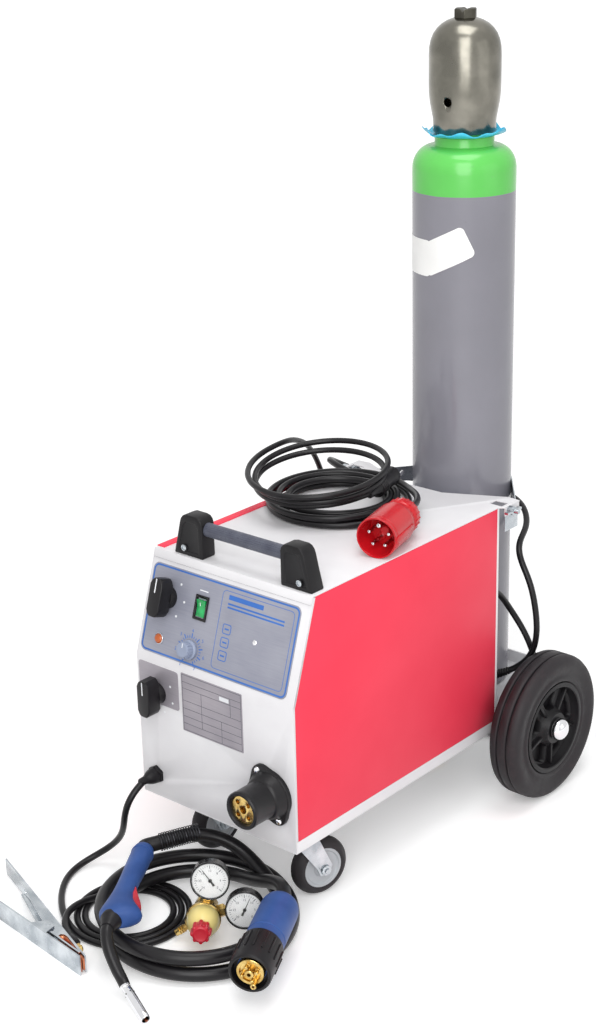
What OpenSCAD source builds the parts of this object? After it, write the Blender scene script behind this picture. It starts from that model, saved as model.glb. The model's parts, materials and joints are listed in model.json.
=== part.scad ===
/* [Cabinet] */
// Width of the cabinet over the side covers
body_w = 267; // [240:1:320]
// Depth of the cabinet from front panel to rear panel
body_d = 428; // [400:1:480]
// Height of the base pan's underside above the floor
base_z = 105; // [104:1:112]
// Height of the lid's top above the floor
body_top = 438.5; // [430:0.5:480]
// Height of the bend between the upright and the sloping front
kink_z = 305; // [300:1:312]
// How far the sloping front leans back at the top
slant_set = 43; // [36:1:52]
// Thickness of the folded sheet
sheet_t = 1.5; // [1:0.1:2]
// Thickness of the two side covers
cover_t = 1.2; // [0.8:0.1:1.6]
// Height of the base pan's rim
rim_h = 16; // [12:1:22]
// Gap round the side covers
cover_gap = 0.4; // [0.3:0.1:1]
// Width of the left cover's fold over the lid
fold_w = 12.5; // [8:0.5:18]
// Depth of the front panel's side returns
return_d = 4; // [3:0.5:8]
// Height of the lid's front edge, measured down the slope
lid_front_h = 10; // [6:0.5:14]

/* [Cylinder and its rear carrier] */
// Diameter of the gas cylinder
cyl_d = 140; // [130:1:141]
// Distance of the cylinder's axis behind the rear panel
cyl_back = 98; // [92:1:110]
// Height of the shelf that the cylinder stands on
shelf_z = 119; // [117:0.5:126]
// Width of the shelf
shelf_w = 240; // [200:1:260]
// Depth of the shelf behind the rear panel
shelf_d = 178; // [170:1:190]
// Thickness of the shelf plate
shelf_t = 3; // [2:0.5:4]
// Depth of the shelf's side skirts
skirt_h = 30; // [26:1:40]
// Height at which the cylinder's shoulder starts, above its foot
cyl_wall_h = 747; // [600:1:760]
// Height of the shoulder
shoulder_h = 31; // [24:1:36]
// Diameter of the cylinder's neck ring
neck_d = 88; // [84:1:92]
// Diameter of the protecting cap at its widest
cap_d = 96; // [95:1:100]
// Diameter of the cap at its foot
cap_foot_d = 84; // [82:1:86]
// Wall thickness of the cap
cap_t = 3; // [2.5:0.5:4]
// Height of the cap without its key stud
cap_h = 148; // [140:1:160]
// Diameter of the film washer under the cap
washer_d = 111; // [100:1:120]
// Height of the steel strap that holds the cylinder
strap_h = 22; // [16:1:24]
// Thickness of that strap
strap_t = 1.5; // [1:0.1:2]
// Height of the strap's lower edge above the floor
strap_z = 402; // [390:1:408]

/* [Wheels] */
// Diameter of the rear wheels
wheel_d = 209; // [190:1:220]
// Width of the rear tyres
wheel_w = 48; // [40:1:52]
// Gap between rear tyre and cabinet side
wheel_gap = 16.5; // [12:0.5:24]
// Distance of the rear axle behind the rear panel
axle_back = 57; // [56:1:64]
// Diameter of the rear axle
axle_d = 20; // [16:1:22]
// Diameter of the rear wheels' plastic rim
rim_d = 132; // [124:1:138]
// Diameter of the caster wheels
caster_d = 80; // [76:1:82]
// Width of the caster tyres
caster_w = 26; // [22:1:28]
// How far the caster wheel trails behind its swivel
caster_trail = 35; // [32:1:38]
// Diameter of the caster axle
caster_axle_d = 8; // [6:0.5:10]
// Distance of the caster swivels from the middle of the cabinet
caster_x = 88; // [80:1:90]
// Distance of the caster swivels behind the front panel
caster_y = 48; // [46:1:60]
// Turn of the right caster at rest, in degrees
caster_turn_right = -17; // [-20:1:0]
// Turn of the left caster at rest, in degrees
caster_turn_left = -8; // [-20:1:20]

/* [Handle] */
// Diameter of the grip tube
grip_d = 18; // [14:0.5:20]
// Height of the grip's axis above the lid
grip_h = 38; // [34:1:42]
// Distance of the grip's axis behind the front panel
grip_y = 57; // [56:1:70]
// Distance from the middle to the outer foot of each bracket
bracket_out = 129; // [120:1:129]
// Width of a bracket's foot
bracket_w = 50; // [40:1:56]
// Depth of a bracket
bracket_d = 24; // [22:1:28]
// Height of a bracket
bracket_h = 55; // [52:1:60]
// Sideways shift of the handle from the middle
handle_shift = 14; // [0:0.5:15]

/* [Controls] */
// Width of the grey control sheet
decal_w = 249; // [220:1:252]
// Height of the control sheet along the slope
decal_h = 116; // [100:1:117]
// Length of the pointer knobs
knob_len = 50; // [40:1:54]
// Width of the pointer knobs
knob_wid = 21; // [18:1:24]
// How far the pointer knobs stand out
knob_out = 29; // [24:1:34]
// Diameter of the switch shafts
shaft_d = 6; // [5:0.5:8]
// Diameter of the small round knob
pot_d = 25; // [20:1:28]
// Diameter of the indicator lamp
lamp_d = 15; // [10:1:18]
// Width of the rocker switch
rocker_w = 22; // [18:1:26]
// Height of the rocker switch
rocker_h = 32; // [26:1:36]
// Centre of the torch socket from the middle of the cabinet
euro_x = 95; // [88:1:95]
// Height of the torch socket's centre
euro_z = 178; // [176:1:184]
// How far the torch socket stands out of the panel
euro_out = 57; // [50:1:62]
// Diameter of the torch socket's body
euro_d = 49; // [46:1:54]
// Diameter of the torch socket's brass core
core_d = 37; // [34:1:38]
// Diameter of the wire and gas bore in the brass core
core_bore = 10; // [9:0.1:11]
// Height of the earth cable's gland
earth_z = 137; // [132:1:145]
// Distance of that gland left of the middle
earth_x = 108; // [100:1:112]

/* [Inside] */
// Room between the transformer and the partition
partition_gap = 8; // [4:1:12]
// Diameter of the wire spool
spool_d = 200; // [180:1:210]
// Width of the wire spool
spool_w = 54; // [50:1:56]
// Diameter of the spool's hub bore
spool_bore = 51; // [50:1:54]
// Diameter of the feed rolls
roll_d = 30; // [28:1:34]
// Frame size of the cooling fan
fan_size = 120; // [110:1:124]

/* [Cords] */
// Diameter of the mains cable
mains_d = 9; // [8:0.5:10]
// Diameter of the lead with the two-pin plug
aux_d = 8; // [7:0.5:8.5]
// Diameter of the torch hose
torch_d = 18; // [16:0.5:18]
// Diameter of the earth cable
earth_d = 9; // [8:0.5:9]
// Diameter of the gas hose
gas_d = 9; // [8:0.5:10]

/* [Hidden] */
$fn = 48;

// Clearances
run_gap = 0.05;      // radial gap of a shaft in its bore
seat_gap = 0.3;      // gap between a moving piece and what it sits on
through = 1;         // how far a cut runs past the face it opens

// Cabinet
half_w = body_w / 2;
pan_t = 2;
lid_z = body_top - sheet_t;
slope_a = atan2(body_top - kink_z, slant_set);
slope_len = norm([slant_set, body_top - kink_z]);
cover_z = base_z + rim_h + cover_gap;
cover_top = lid_z - cover_gap;
cover_inset = return_d + cover_gap;

// Cylinder
cyl_r = cyl_d / 2;
cyl_y = body_d + cyl_back;
cyl_neck_z = shelf_z + cyl_wall_h + shoulder_h;
collar_r = 40;       // ring on which the washer lies
collar_h = 13;
neck_r = 36;         // threaded neck inside the cap's foot
neck_h = 26;
valve_r = 14;        // tapered thread of the valve
washer_z = cyl_neck_z + collar_h;
washer_t = 4;
cap_z = washer_z + washer_t + seat_gap;
cap_wide_z = cap_z + 60;
cap_dome = 46;       // height of the dome of the cap
ear_out = half_w + 6.5;
ear_slot_in = half_w - 19;
ear_slot_out = half_w + 1;
ear_drop = 12;
ear_bolt_z = lid_z - 5;
strap_arm_y = body_d + 14;
strap_end_x = ear_out - sheet_t - strap_t / 2;
cradle_gap = 0.3;

// Wheels
wheel_r = wheel_d / 2;
wheel_x = half_w + wheel_gap;
axle_y = body_d + axle_back;
axle_z = wheel_r;
axle_end = wheel_x + wheel_w + 6;
hub_cap_out = 16;
hub_r = 16;
pin_r = 5;           // kingpin of a caster
pin_drop = 8;
pin_head = 2.5;
caster_r = caster_d / 2;
swivel_plate_t = 3;
fork_top = base_z - swivel_plate_t - seat_gap;
fork_t = 2.5;
fork_in = caster_w / 2 + 1;

// Front
euro_hole_r = 20;
gland_hole_r = 8;
lamp_hole_r = 6;
mains_gland_x = 90;
mains_gland_z = 160;
aux_gland_x = -100;
aux_gland_z = 200;
gland_out = 20;
shaft_in = 18;
grip_in = 14;
rocker_pivot = -2;
rocker_tilt = 8;
euro_lobe = 119;
gas_in_x = 100;
gas_in_z = 300;
decal_low = (slope_len - lid_front_h - decal_h) / 2;
decal_t = 0.8;
decal_mid = decal_low + decal_h / 2;
decal_x = -4;
upper_knob_x = -94;
upper_knob_t = decal_low + 76;
lower_knob_x = -97;
lower_knob_z = 259;
plate_t = 0.8;
rocker_x = -37;
rocker_t = decal_low + 76;
lamp_x = -98;
lamp_t = decal_low + 21;
pot_x = -44;
pot_t = decal_low + 20;

// Inside
core_l = 112;        // transformer core: length, breadth, yokes and legs
core_b = 104;
yoke_h = 20;
leg_l = 24;
leg_h = 100;
core_x = 21.5 - half_w;
core_y = 170;
choke = [90, 60, 70];
rectifier = [44, 70, 110];
board = [12, 120, 90];
board_up = 190;
feed_y = 92;
feed_x = euro_x;
feed_z = euro_z - roll_d / 2 - 0.8;
feed_plate_t = 4;
feed_stand = 10;
euro_y_in = 32;
spool_y = 296;
spool_z = base_z + 132;
fan_wall = 9.5;      // room between the fan's frame and the outside of the left cover
fan_x = fan_size / 2 + fan_wall - half_w;
fan_gap = 12;        // room between the fan's frame and the partition
partition_x = max(core_x + core_l + partition_gap, fan_x + fan_size / 2 + fan_gap);
fan_z = base_z + 210;
fan_t = 32;

// Outline of the whole, which puts the origin under its middle
clamp_tip = [-2, -236];
clamp_turn = 160.5;
clamp_len = 263;
outer_x = wheel_x + wheel_w + hub_cap_out;
torch_tip = [126, -262, 6.5];
nozzle_a = [74, -244.5, 20.5];
nozzle_d = 12.5;
nozzle_u = (torch_tip - nozzle_a) / norm(torch_tip - nozzle_a);
origin_x = (clamp_tip[0] + clamp_len * cos(clamp_turn) - 2 * sin(clamp_turn) + outer_x) / 2;
origin_y = (torch_tip[1] - nozzle_d / 2 * sqrt(1 - nozzle_u[1] * nozzle_u[1])
  + body_d + shelf_d) / 2;

// Torch, its plug and the regulator, as they lie
torch_a = [-62, -74, 74];
torch_b = [20, -215, 67.5];
trigger_y = 10;
trigger_z = 92;
torch_u = (torch_b - torch_a) / norm(torch_b - torch_a);
boot_points = [torch_a - seat_gap * torch_u, torch_a - 4 * torch_u, torch_a - 8 * torch_u,
  [-57, -52, 76.5], [-48.5, -35, 77.25], [-40, -18, 78]];
boot_end = boot_points[5];
neck_points = [torch_b, [26, -225, 64], [38, -234, 52], [54, -239, 35], [66, -241.5, 25],
  nozzle_a];
plug_a = [146, -42, 63];
plug_b = [211, -175, 59];
plug_r = 24.5;
plug_sleeve_l = 92;
reg_at = [65, -100, 34.6];
gauge_out = 54;
gauge_d = 49;
tail_d = 9;
stem_r = 5.5;        // stems that carry the gauges
stub_out = 2;

// Earth clamp
clamp_h = 28;
clamp_lift = 2.3;
clamp_pivot = [85, 14];
clamp_mouth = 4.6;
clamp_gape = 13;
clamp_len_low = 189;
clamp_lug = [62, -6.5, 14];
function clamp_low_y(x) = 2 * clamp_mouth + x * tan(clamp_gape) - 1;
function clamp_pt(x, y, z) = [
  clamp_tip[0] + x * cos(clamp_turn) - y * sin(clamp_turn),
  clamp_tip[1] + x * sin(clamp_turn) + y * cos(clamp_turn), z];

// Plugs on the lid
cee_r = 27;
cee_z = body_top + cee_r + seat_gap;
cee_a = [88, 290, cee_z];
cee_b = [118, 182, cee_z];
schuko_r = 13;
schuko_a = [22, 296, 473];
schuko_b = [-1, 366, 473];

// Routes of the cords
end_run = 3;
mains_z = body_top + cover_t + mains_d / 2 + seat_gap;
mains_pile = ended(pile([-45, 300, mains_z], 1840 / 360, 100, -1, 100, 62, mains_d + 0.7, 2));
mains_route = [[mains_gland_x, body_d + gland_out + seat_gap, mains_gland_z],
  [90.5, 464.9, 160], [96.6, 480.6, 160.6], [107.8, 492.5, 164.3], [120.6, 499.7, 172.6],
  [132.2, 502.5, 184.4], [141.2, 502.9, 198.8], [146.5, 502.7, 214.8], [148.9, 502.1, 231.6],
  [149.2, 501.1, 248.5], [147.6, 500.2, 265.3], [144.3, 500.2, 281.9], [139.2, 500.9, 298.1],
  [131.9, 501.8, 313.3], [122.4, 503.4, 327.2], [112.2, 508.8, 339.5], [103.8, 520, 348.8],
  [98.3, 534.9, 354.5], [93.2, 550.5, 358.6], [86.1, 565.2, 363.1], [76.7, 578.4, 368],
  [65.1, 589.9, 372.7], [51.5, 599.2, 376.5], [36.2, 605.8, 379.4], [20, 610, 381.7],
  [3.3, 611.8, 383.6], [-13.6, 611.1, 385.4], [-30.1, 607.9, 386.9], [-46, 602.1, 388.3],
  [-60.4, 593.3, 389.7], [-72.9, 582, 391], [-84.2, 569.4, 392.5], [-95.3, 556.8, 394.2],
  [-106.6, 544.3, 396.4], [-117.8, 531.9, 399.1], [-128.7, 519.3, 402.2],
  [-139.1, 506.4, 405.9], [-148.7, 493.3, 410.6], [-156.9, 479.9, 416.7],
  [-163.3, 466.1, 424.4], [-166.6, 451.9, 432.9], [-165.7, 437.2, 441.1], [-159.5, 423, 447.8],
  [-147.7, 411.5, 451], [-132.4, 404.4, 450.7], [-116, 401, 448.7], [-99.3, 399.1, 446.5],
  [-82.5, 397.2, 445], before(mains_pile, seat_gap)];
mains_tail = [after(mains_pile, seat_gap), [21.4, 376.5, 455.1], [33.7, 366.5, 457.5],
  [45.6, 356.1, 460.2], [57.1, 345.2, 462.4], [67.9, 333.4, 464.1], [76.9, 320.3, 465.3],
  [83.4, 305.7, 465.8], cee_a - seat_gap * unit(cee_b - cee_a)];
aux_pile = ended(tilted(pile([-60, 285, 464], 905 / 360, -5, -1, 84, 98, 0, 1), 0.12, 185, 22.6));
aux_tail = [schuko_a - 4 * seat_gap * unit(schuko_b - schuko_a), [23.36, 290.87, 473.75],
  [23.99, 285.93, 475.05], before(aux_pile, 3 * seat_gap)];
aux_route = [after(aux_pile, 2 * seat_gap), [-155.7, 322.2, 501.9], [-160.4, 338.5, 499.1],
  [-165.4, 354.2, 494.5], [-169.6, 369.8, 488.6], [-174.3, 384.6, 481.3],
  [-179.6, 398.3, 472.4], [-184.4, 411.1, 462], [-187.8, 422.7, 449.8], [-189.9, 432.6, 435.9],
  [-190.9, 440.3, 420.6], [-191, 446.3, 404.6], [-189.9, 451.3, 388.2], [-187.5, 455.8, 371.8],
  [-183.9, 459.9, 355.5], [-179.5, 463.4, 339.3], [-174.3, 466.6, 323.2], [-168, 469.5, 307.5],
  [-160.5, 472.1, 292.2], [-152.2, 474.7, 277.4], [-143.2, 477.4, 263], [-134.1, 480.8, 248.9],
  [-124.8, 485.3, 235.1], [-115.2, 486.1, 221.2], [-106.2, 479.1, 208.6],
  [-100.6, 465.1, 200.9], [aux_gland_x, body_d + gland_out + seat_gap, aux_gland_z]];
gas_pile = ended(pile([-52, 500, gas_d / 2], 3.5, 100, 1, 62, 42, gas_d + 0.7, 2));
gas_route = [[gas_in_x, body_d + 12 + seat_gap, gas_in_z], [100, 456.9, 299.2],
  [100.4, 472.2, 292.4], [100.9, 484.4, 280.7], [102.5, 494.3, 267.1], [107, 502, 252.7],
  [114.9, 506.6, 238.4], [124, 508.4, 224.3], [131.8, 509.8, 209.3], [136.4, 512.8, 193.3],
  [138, 517.6, 177.2], [138, 523.5, 161.3], [137.1, 530, 145.6], [135.5, 537, 130.3],
  [133.2, 544.6, 115.3], [130.2, 552.6, 100.7], [126, 560.5, 86.3], [120, 567.8, 72.2],
  [112.2, 574, 58.6], [102.5, 578.4, 45.4], [90.9, 579.7, 33.2], [77.8, 579, 22.8],
  [63.8, 577, 14.9], [49, 574.5, 9.3], [33.4, 572.3, 6.1], [17.2, 570.6, 4.8],
  [1, 569.4, 4.6], [-15, 568.3, 4.6], [-31, 566.4, 4.6], [-46, 563.9, 4.6],
  before(gas_pile, seat_gap)];
// Nut at the end of the gas hose, from its hose side to its nipple
gas_nut_a = [-5, 445.6, 8];
gas_nut_b = [19, 449.9, 8];
gas_tail = [after(gas_pile, seat_gap), [-28, 441.4, 13.2], [-19, 443, 10.4],
  [-12, 444.3, 8.3], [-9, 444.9, 8], gas_nut_a - seat_gap * unit(gas_nut_b - gas_nut_a)];
torch_lean = 9.5;
torch_pile = ended(leaning(pile([34, -82, torch_d * 1.5 + 1], 668 / 360, 68, -1, 108, 127,
  -torch_d - 1, 2)));
torch_route = [boot_end + 2 * seat_gap * unit(boot_end - boot_points[4]),
  [-29.6, -0.6, 77.2], [-16, 13.7, 72.3], [-0.5, 23.9, 64.1], [16.1, 29.2, 53.8],
  [33.6, 29.5, 43.6], [52.1, 25.7, 36.1], before(torch_pile, 0.5)];
plug_route = [after(torch_pile, 0.5), [1.1, 20, 19.2], [20.1, 19.7, 22], [37.7, 13.5, 26.7],
  [53.8, 5.7, 34.1], [70.7, 2, 42.8], [88.4, 1.3, 50.6], [106.3, -2.6, 56.7], [123, -11.3, 61],
  [136.6, -24.8, 63.2], plug_a - seat_gap * unit(plug_b - plug_a)];
earth_pile = ended(pile([-52, -112, earth_d / 2], 2.75, 240, 1, 82.5, 55.8, 0, 1));
earth_route = [[-earth_x, -gland_out - seat_gap, earth_z], [-108.2, -36.8, 136],
  [-109.9, -50.5, 126.7], [-112.9, -57.4, 111.7], [-116.7, -57.1, 95.4], [-121.7, -51.2, 80.4],
  [-128.6, -45, 66.3], [-137.2, -40.7, 52.4], [-147.7, -38.8, 39.3], [-159.6, -40.3, 27.4],
  [-172, -45.7, 17.4], [-182.9, -56.3, 10.1], [-189.2, -71.3, 6], [-188.8, -88, 4.6],
  [-182.8, -103.7, 4.6], [-173.6, -117.9, 4.7], [-163, -131.1, 4.7], [-151.5, -143.5, 4.6],
  [-139.1, -155, 4.5], [-125.6, -165.1, 4.5], [-111, -173.8, 4.5],
  before(earth_pile, seat_gap)];
earth_tail = [after(earth_pile, seat_gap), [-107.2, -103.2, 4.9], [-106.1, -120, 8.2],
  [-107.5, -136, 14.1], [-110.9, -152.7, 16.4], [-110.6, -169.7, 15.3], [-103.3, -185, 13.2],
  [-90.3, -196.1, 12.3], [-74.8, -203.3, 13.4],
  clamp_pt(clamp_lug[0] + seat_gap, clamp_lug[1], clamp_lug[2])];
echo(least_gaps = [least_gap(mains_pile, mains_d, 12), least_gap(aux_pile, aux_d, 12),
  least_gap(gas_pile, gas_d, 12), least_gap(torch_pile, torch_d, 12),
  least_gap(earth_pile, earth_d, 12)]);

// Places the finished pieces in the part's own frame
module place() {
  translate([-origin_x, -origin_y, 0]) children();
}

// Local frames on the sloping and on the upright front: X right, Y up, Z out
module on_slope(x, t) {
  translate([x, 0, kink_z]) rotate([slope_a, 0, 0]) translate([0, t, 0]) children();
}
module on_front(x, z) {
  translate([x, 0, z]) rotate([90, 0, 0]) children();
}
module on_rear(x, z) {
  translate([x, body_d, z]) rotate([-90, 0, 0]) children();
}
module along_x(x, y, z) {
  translate([x, y, z]) rotate([0, 90, 0]) children();
}

// Points of a smooth line through hand-set points
function between(a, b, c, d, t) =
  0.5 * (2 * b + (c - a) * t + (2 * a - 5 * b + 4 * c - d) * t * t
  + (3 * b - a - 3 * c + d) * t * t * t);
function smooth_line(p, steps) = let (n = len(p)) concat(
  [for (i = [0 : n - 2], k = [0 : steps - 1])
    between(p[max(i - 1, 0)], p[i], p[i + 1], p[min(i + 2, n - 1)], k / steps)],
  [p[n - 1]]);

function unit(v) = v / norm(v);
function tangent(p, i) = let (n = len(p)) unit(p[min(i + 1, n - 1)] - p[max(i - 1, 0)]);
function side_of(t, n) = unit(n - (n * t) * t);
function start_side(t) = side_of(t, abs(t[2]) < 0.8 ? [0, 0, 1] : [1, 0, 0]);

// A round tube swept along points: rings carried without twist, flat ends
module sweep(p, r, sides, floor_cut = -1) {
  n = len(p);
  normals = [for (i = 0, s = start_side(tangent(p, 0)); i < n;
    i = i + 1, s = i < n ? side_of(tangent(p, i), s) : s) s];
  rings = [for (i = [0 : n - 1], k = [0 : sides - 1])
    let (t = tangent(p, i), s = normals[i], a = 360 * k / sides,
      q = p[i] + r * (cos(a) * s + sin(a) * cross(t, s)))
    [q[0], q[1], max(q[2], floor_cut)]];
  walls = [for (i = [0 : n - 2], k = [0 : sides - 1]) let (
      a = i * sides + k,
      b = i * sides + (k + 1) % sides)
    each [[a, a + sides, b], [b, a + sides, b + sides]]];
  first = [for (k = [1 : sides - 2]) [0, k, k + 1]];
  last_ring = (n - 1) * sides;
  last = [for (k = [1 : sides - 2]) [last_ring, last_ring + k + 1, last_ring + k]];
  polyhedron(rings, concat(first, walls, last), convexity = 10);
}

// Least gap of a tube to itself, past a stretch of its own bend
function least_gap(p, d, skip) = min([for (i = [0 : len(p) - 1 - skip])
  min([for (j = [i + skip : len(p) - 1]) norm(p[i] - p[j])])]) - d;

// Line of the front in the Y-Z plane, set in by e, from height z0 up to height z1
function slope_pt(t, out) = [
  t * cos(slope_a) - out * sin(slope_a),
  kink_z + t * sin(slope_a) + out * cos(slope_a)];
function front_line(e, z0, z1) = [
  [e, z0],
  slope_pt(e * (1 - sin(slope_a)) / cos(slope_a), -e),
  slope_pt((z1 - kink_z + e * cos(slope_a)) / sin(slope_a), -e)];
function turned(p) = [for (i = [len(p) - 1 : -1 : 0]) p[i]];

// Outline in the Y-Z plane, extruded along X from x0
module side_profile(points, x0, w) {
  translate([x0, 0, 0]) rotate([90, 0, 90]) linear_extrude(w) polygon(points);
}
// Sheet bent over the front line, from height z0 to z1
module front_sheet(e, t, z0, z1, x0, w) {
  side_profile(concat(front_line(e, z0, z1), turned(front_line(e + t, z0, z1))), x0, w);
}
module both_sides() {
  children();
  mirror([1, 0, 0]) children();
}

// ---- Cabinet ----
module base_pan() {
  color("gainsboro") {
    difference() {
      union() {
        translate([-half_w, 0, base_z]) cube([body_w, body_d, pan_t]);
        both_sides() translate([half_w - sheet_t, sheet_t, base_z])
          cube([sheet_t, body_d - 2 * sheet_t, rim_h]);
      }
      for (i = [0 : 7])
        translate([-100, 150 + 18 * i, base_z - through]) cube([80, 6, pan_t + 2 * through]);
    }
    // Partition between the power side and the wire side
    side_profile(concat(front_line(sheet_t, base_z + pan_t, lid_z),
      [[body_d - sheet_t, lid_z], [body_d - sheet_t, base_z + pan_t]]), partition_x, sheet_t);
    // Swivel plates of the casters with their kingpins
    both_sides() translate([caster_x, caster_y, base_z - swivel_plate_t]) {
      translate([-30, -30, 0]) cube([60, 60, swivel_plate_t]);
      translate([0, 0, -pin_drop]) cylinder(r = pin_r, h = pin_drop);
      translate([0, 0, -pin_drop]) cylinder(r = pin_r + 4, h = pin_head);
    }
  }
}

module front_panel() {
  z0 = base_z + pan_t;
  color("whitesmoke") difference() {
    union() {
      front_sheet(0, sheet_t, z0, lid_z, -half_w, body_w);
      both_sides() front_sheet(sheet_t, return_d - sheet_t, base_z + rim_h, lid_z - cover_t,
        half_w - sheet_t, sheet_t);
    }
    on_front(euro_x, euro_z) cylinder(r = euro_hole_r, h = 8, center = true);
    on_front(-earth_x, earth_z) cylinder(r = gland_hole_r, h = 8, center = true);
    on_front(lower_knob_x, lower_knob_z) cylinder(r = shaft_d / 2 + run_gap, h = 8, center = true);
    on_slope(upper_knob_x, upper_knob_t) cylinder(r = shaft_d / 2 + run_gap, h = 8, center = true);
    on_slope(pot_x, pot_t) cylinder(r = shaft_d / 2 + run_gap, h = 8, center = true);
    on_slope(lamp_x, lamp_t) cylinder(r = lamp_hole_r, h = 8, center = true);
    on_slope(rocker_x, rocker_t) cube([rocker_w - 4, rocker_h - 4, 8], center = true);
  }
}

module rear_panel() {
  color("whitesmoke") difference() {
    union() {
      translate([-half_w, body_d - sheet_t, base_z + pan_t])
        cube([body_w, sheet_t, lid_z - base_z - pan_t]);
      both_sides() translate([half_w - sheet_t, body_d - return_d, base_z + rim_h])
        cube([sheet_t, return_d - sheet_t, lid_z - cover_t - base_z - rim_h]);
    }
    for (i = [-5 : 5])
      translate([fan_x - 46, body_d - 2, fan_z + 9 * i - 2]) cube([92, 3, 4]);
    on_rear(mains_gland_x, mains_gland_z) cylinder(r = gland_hole_r, h = 8, center = true);
    on_rear(aux_gland_x, aux_gland_z) cylinder(r = gland_hole_r, h = 8, center = true);
    on_rear(gas_in_x, gas_in_z) cylinder(r = 6 + run_gap, h = 8, center = true);
  }
}

// Rear corner of the lid that reaches out beside the cylinder
module lid_ear() {
  difference() {
    translate([0, 0, lid_z]) linear_extrude(sheet_t) polygon([
      [38, body_d - 2], [38, body_d], [ear_slot_out - 13, body_d + 40],
      [ear_out, body_d + 38], [ear_out, body_d + 2], [half_w, body_d - 2]]);
    translate([ear_slot_in, body_d + 4, lid_z - through])
      cube([ear_slot_out - ear_slot_in, 15, sheet_t + 2 * through]);
  }
  difference() {
    translate([ear_out - sheet_t, body_d + 4, lid_z - ear_drop])
      cube([sheet_t, 33, ear_drop]);
    along_x(ear_out - 4, strap_arm_y, ear_bolt_z) cylinder(r = 3 + run_gap, h = 8);
  }
}
module lid() {
  tl = (lid_z - kink_z) / sin(slope_a);
  tq = (body_top - kink_z - sheet_t * cos(slope_a)) / sin(slope_a);
  color("whitesmoke") {
    side_profile([
      slope_pt(tl - lid_front_h, 0), slope_pt(tl - lid_front_h, sheet_t),
      slope_pt(tq, sheet_t), [body_d, body_top], [body_d, lid_z], slope_pt(tl, 0)],
      -half_w + cover_t, body_w - cover_t);
    both_sides() lid_ear();
  }
}

module side_cover_left() {
  color("crimson") {
    side_profile(concat(front_line(cover_inset, cover_z, body_top),
      [[body_d - cover_inset, body_top], [body_d - cover_inset, cover_z]]), -half_w, cover_t);
    translate([-half_w, slant_set + cover_inset, body_top])
      cube([fold_w, body_d - slant_set - 2 * cover_inset, cover_t]);
  }
}
module side_cover_right() {
  color("crimson")
    side_profile(concat(front_line(cover_inset, cover_z, cover_top),
      [[body_d - cover_inset, cover_top], [body_d - cover_inset, cover_z]]),
      half_w - cover_t, cover_t);
}

// ---- Rear carrier and cylinder ----
module rear_shelf() {
  w = shelf_w / 2;
  color("darkgray") difference() {
    union() {
      translate([-w, body_d, shelf_z - shelf_t]) cube([shelf_w, shelf_d, shelf_t]);
      translate([-w, body_d, shelf_z]) cube([shelf_w, shelf_t, 22]);
      translate([-w, body_d + shelf_d - shelf_t, shelf_z]) cube([shelf_w, shelf_t, 18]);
      both_sides() translate([w - shelf_t, body_d, shelf_z - skirt_h])
        cube([shelf_t, shelf_d, skirt_h]);
    }
    along_x(-w - through, axle_y, axle_z)
      cylinder(r = axle_d / 2 + run_gap, h = shelf_w + 2 * through);
  }
}
module rear_axle() {
  color("silver") {
    along_x(-axle_end, axle_y, axle_z) cylinder(r = axle_d / 2, h = 2 * axle_end);
    both_sides() {
      along_x(shelf_w / 2 + seat_gap, axle_y, axle_z)
        cylinder(r = axle_d / 2 + 5, h = wheel_x - shelf_w / 2 - 2 * seat_gap);
      along_x(wheel_x + wheel_w + seat_gap, axle_y, axle_z) rotate_extrude()
        polygon(concat([[0, 0]], [for (a = [0 : 15 : 75])
          [hub_r * cos(a), 5 + (hub_cap_out - 5 - seat_gap) * sin(a)]],
          [[0, hub_cap_out - seat_gap]]));
    }
  }
}
module rear_wheel() {
  e = [for (a = [0 : 18 : 90]) [wheel_r - 12 + 12 * sin(a), 12 - 12 * cos(a)]];
  half = wheel_w / 2;
  grooves = [[wheel_r, half - 9], [wheel_r - 3, half - 7], [wheel_r - 3, half - 5],
    [wheel_r, half - 3]];
  half_tread = concat(e, grooves);
  rim_r = rim_d / 2;
  color([0.12, 0.12, 0.13]) {
    rotate_extrude() polygon(concat(
      [[rim_r, 5]], half_tread, [for (p = turned(half_tread)) [p[0], wheel_w - p[1]]],
      [[rim_r, wheel_w - 5]]));
    difference() {
      union() {
        rotate_extrude() polygon([[rim_r - 9, 3], [rim_r, 3], [rim_r, wheel_w - 3],
          [rim_r - 9, wheel_w - 3]]);
        rotate_extrude() polygon([[0, half - 5], [rim_r - 8, half - 5], [rim_r - 8, half + 5],
          [0, half + 5]]);
        cylinder(r = hub_r + 6, h = wheel_w);
        for (k = [0 : 4]) rotate([0, 0, 72 * k]) translate([hub_r, -5, 6])
          cube([rim_r - hub_r - 4, 10, wheel_w - 12]);
      }
      for (k = [0 : 4]) rotate([0, 0, 72 * k + 36]) translate([0, 0, half - 8])
        linear_extrude(16) polygon([[hub_r + 10, -9], [rim_r - 13, -21], [rim_r - 10, 0],
          [rim_r - 13, 21], [hub_r + 10, 9]]);
      translate([0, 0, -through])
        cylinder(r = axle_d / 2 + run_gap, h = wheel_w + 2 * through);
    }
  }
}
module rear_wheel_right() {
  along_x(wheel_x, axle_y, axle_z) rear_wheel();
}
module rear_wheel_left() {
  mirror([1, 0, 0]) rear_wheel_right();
}

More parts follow.
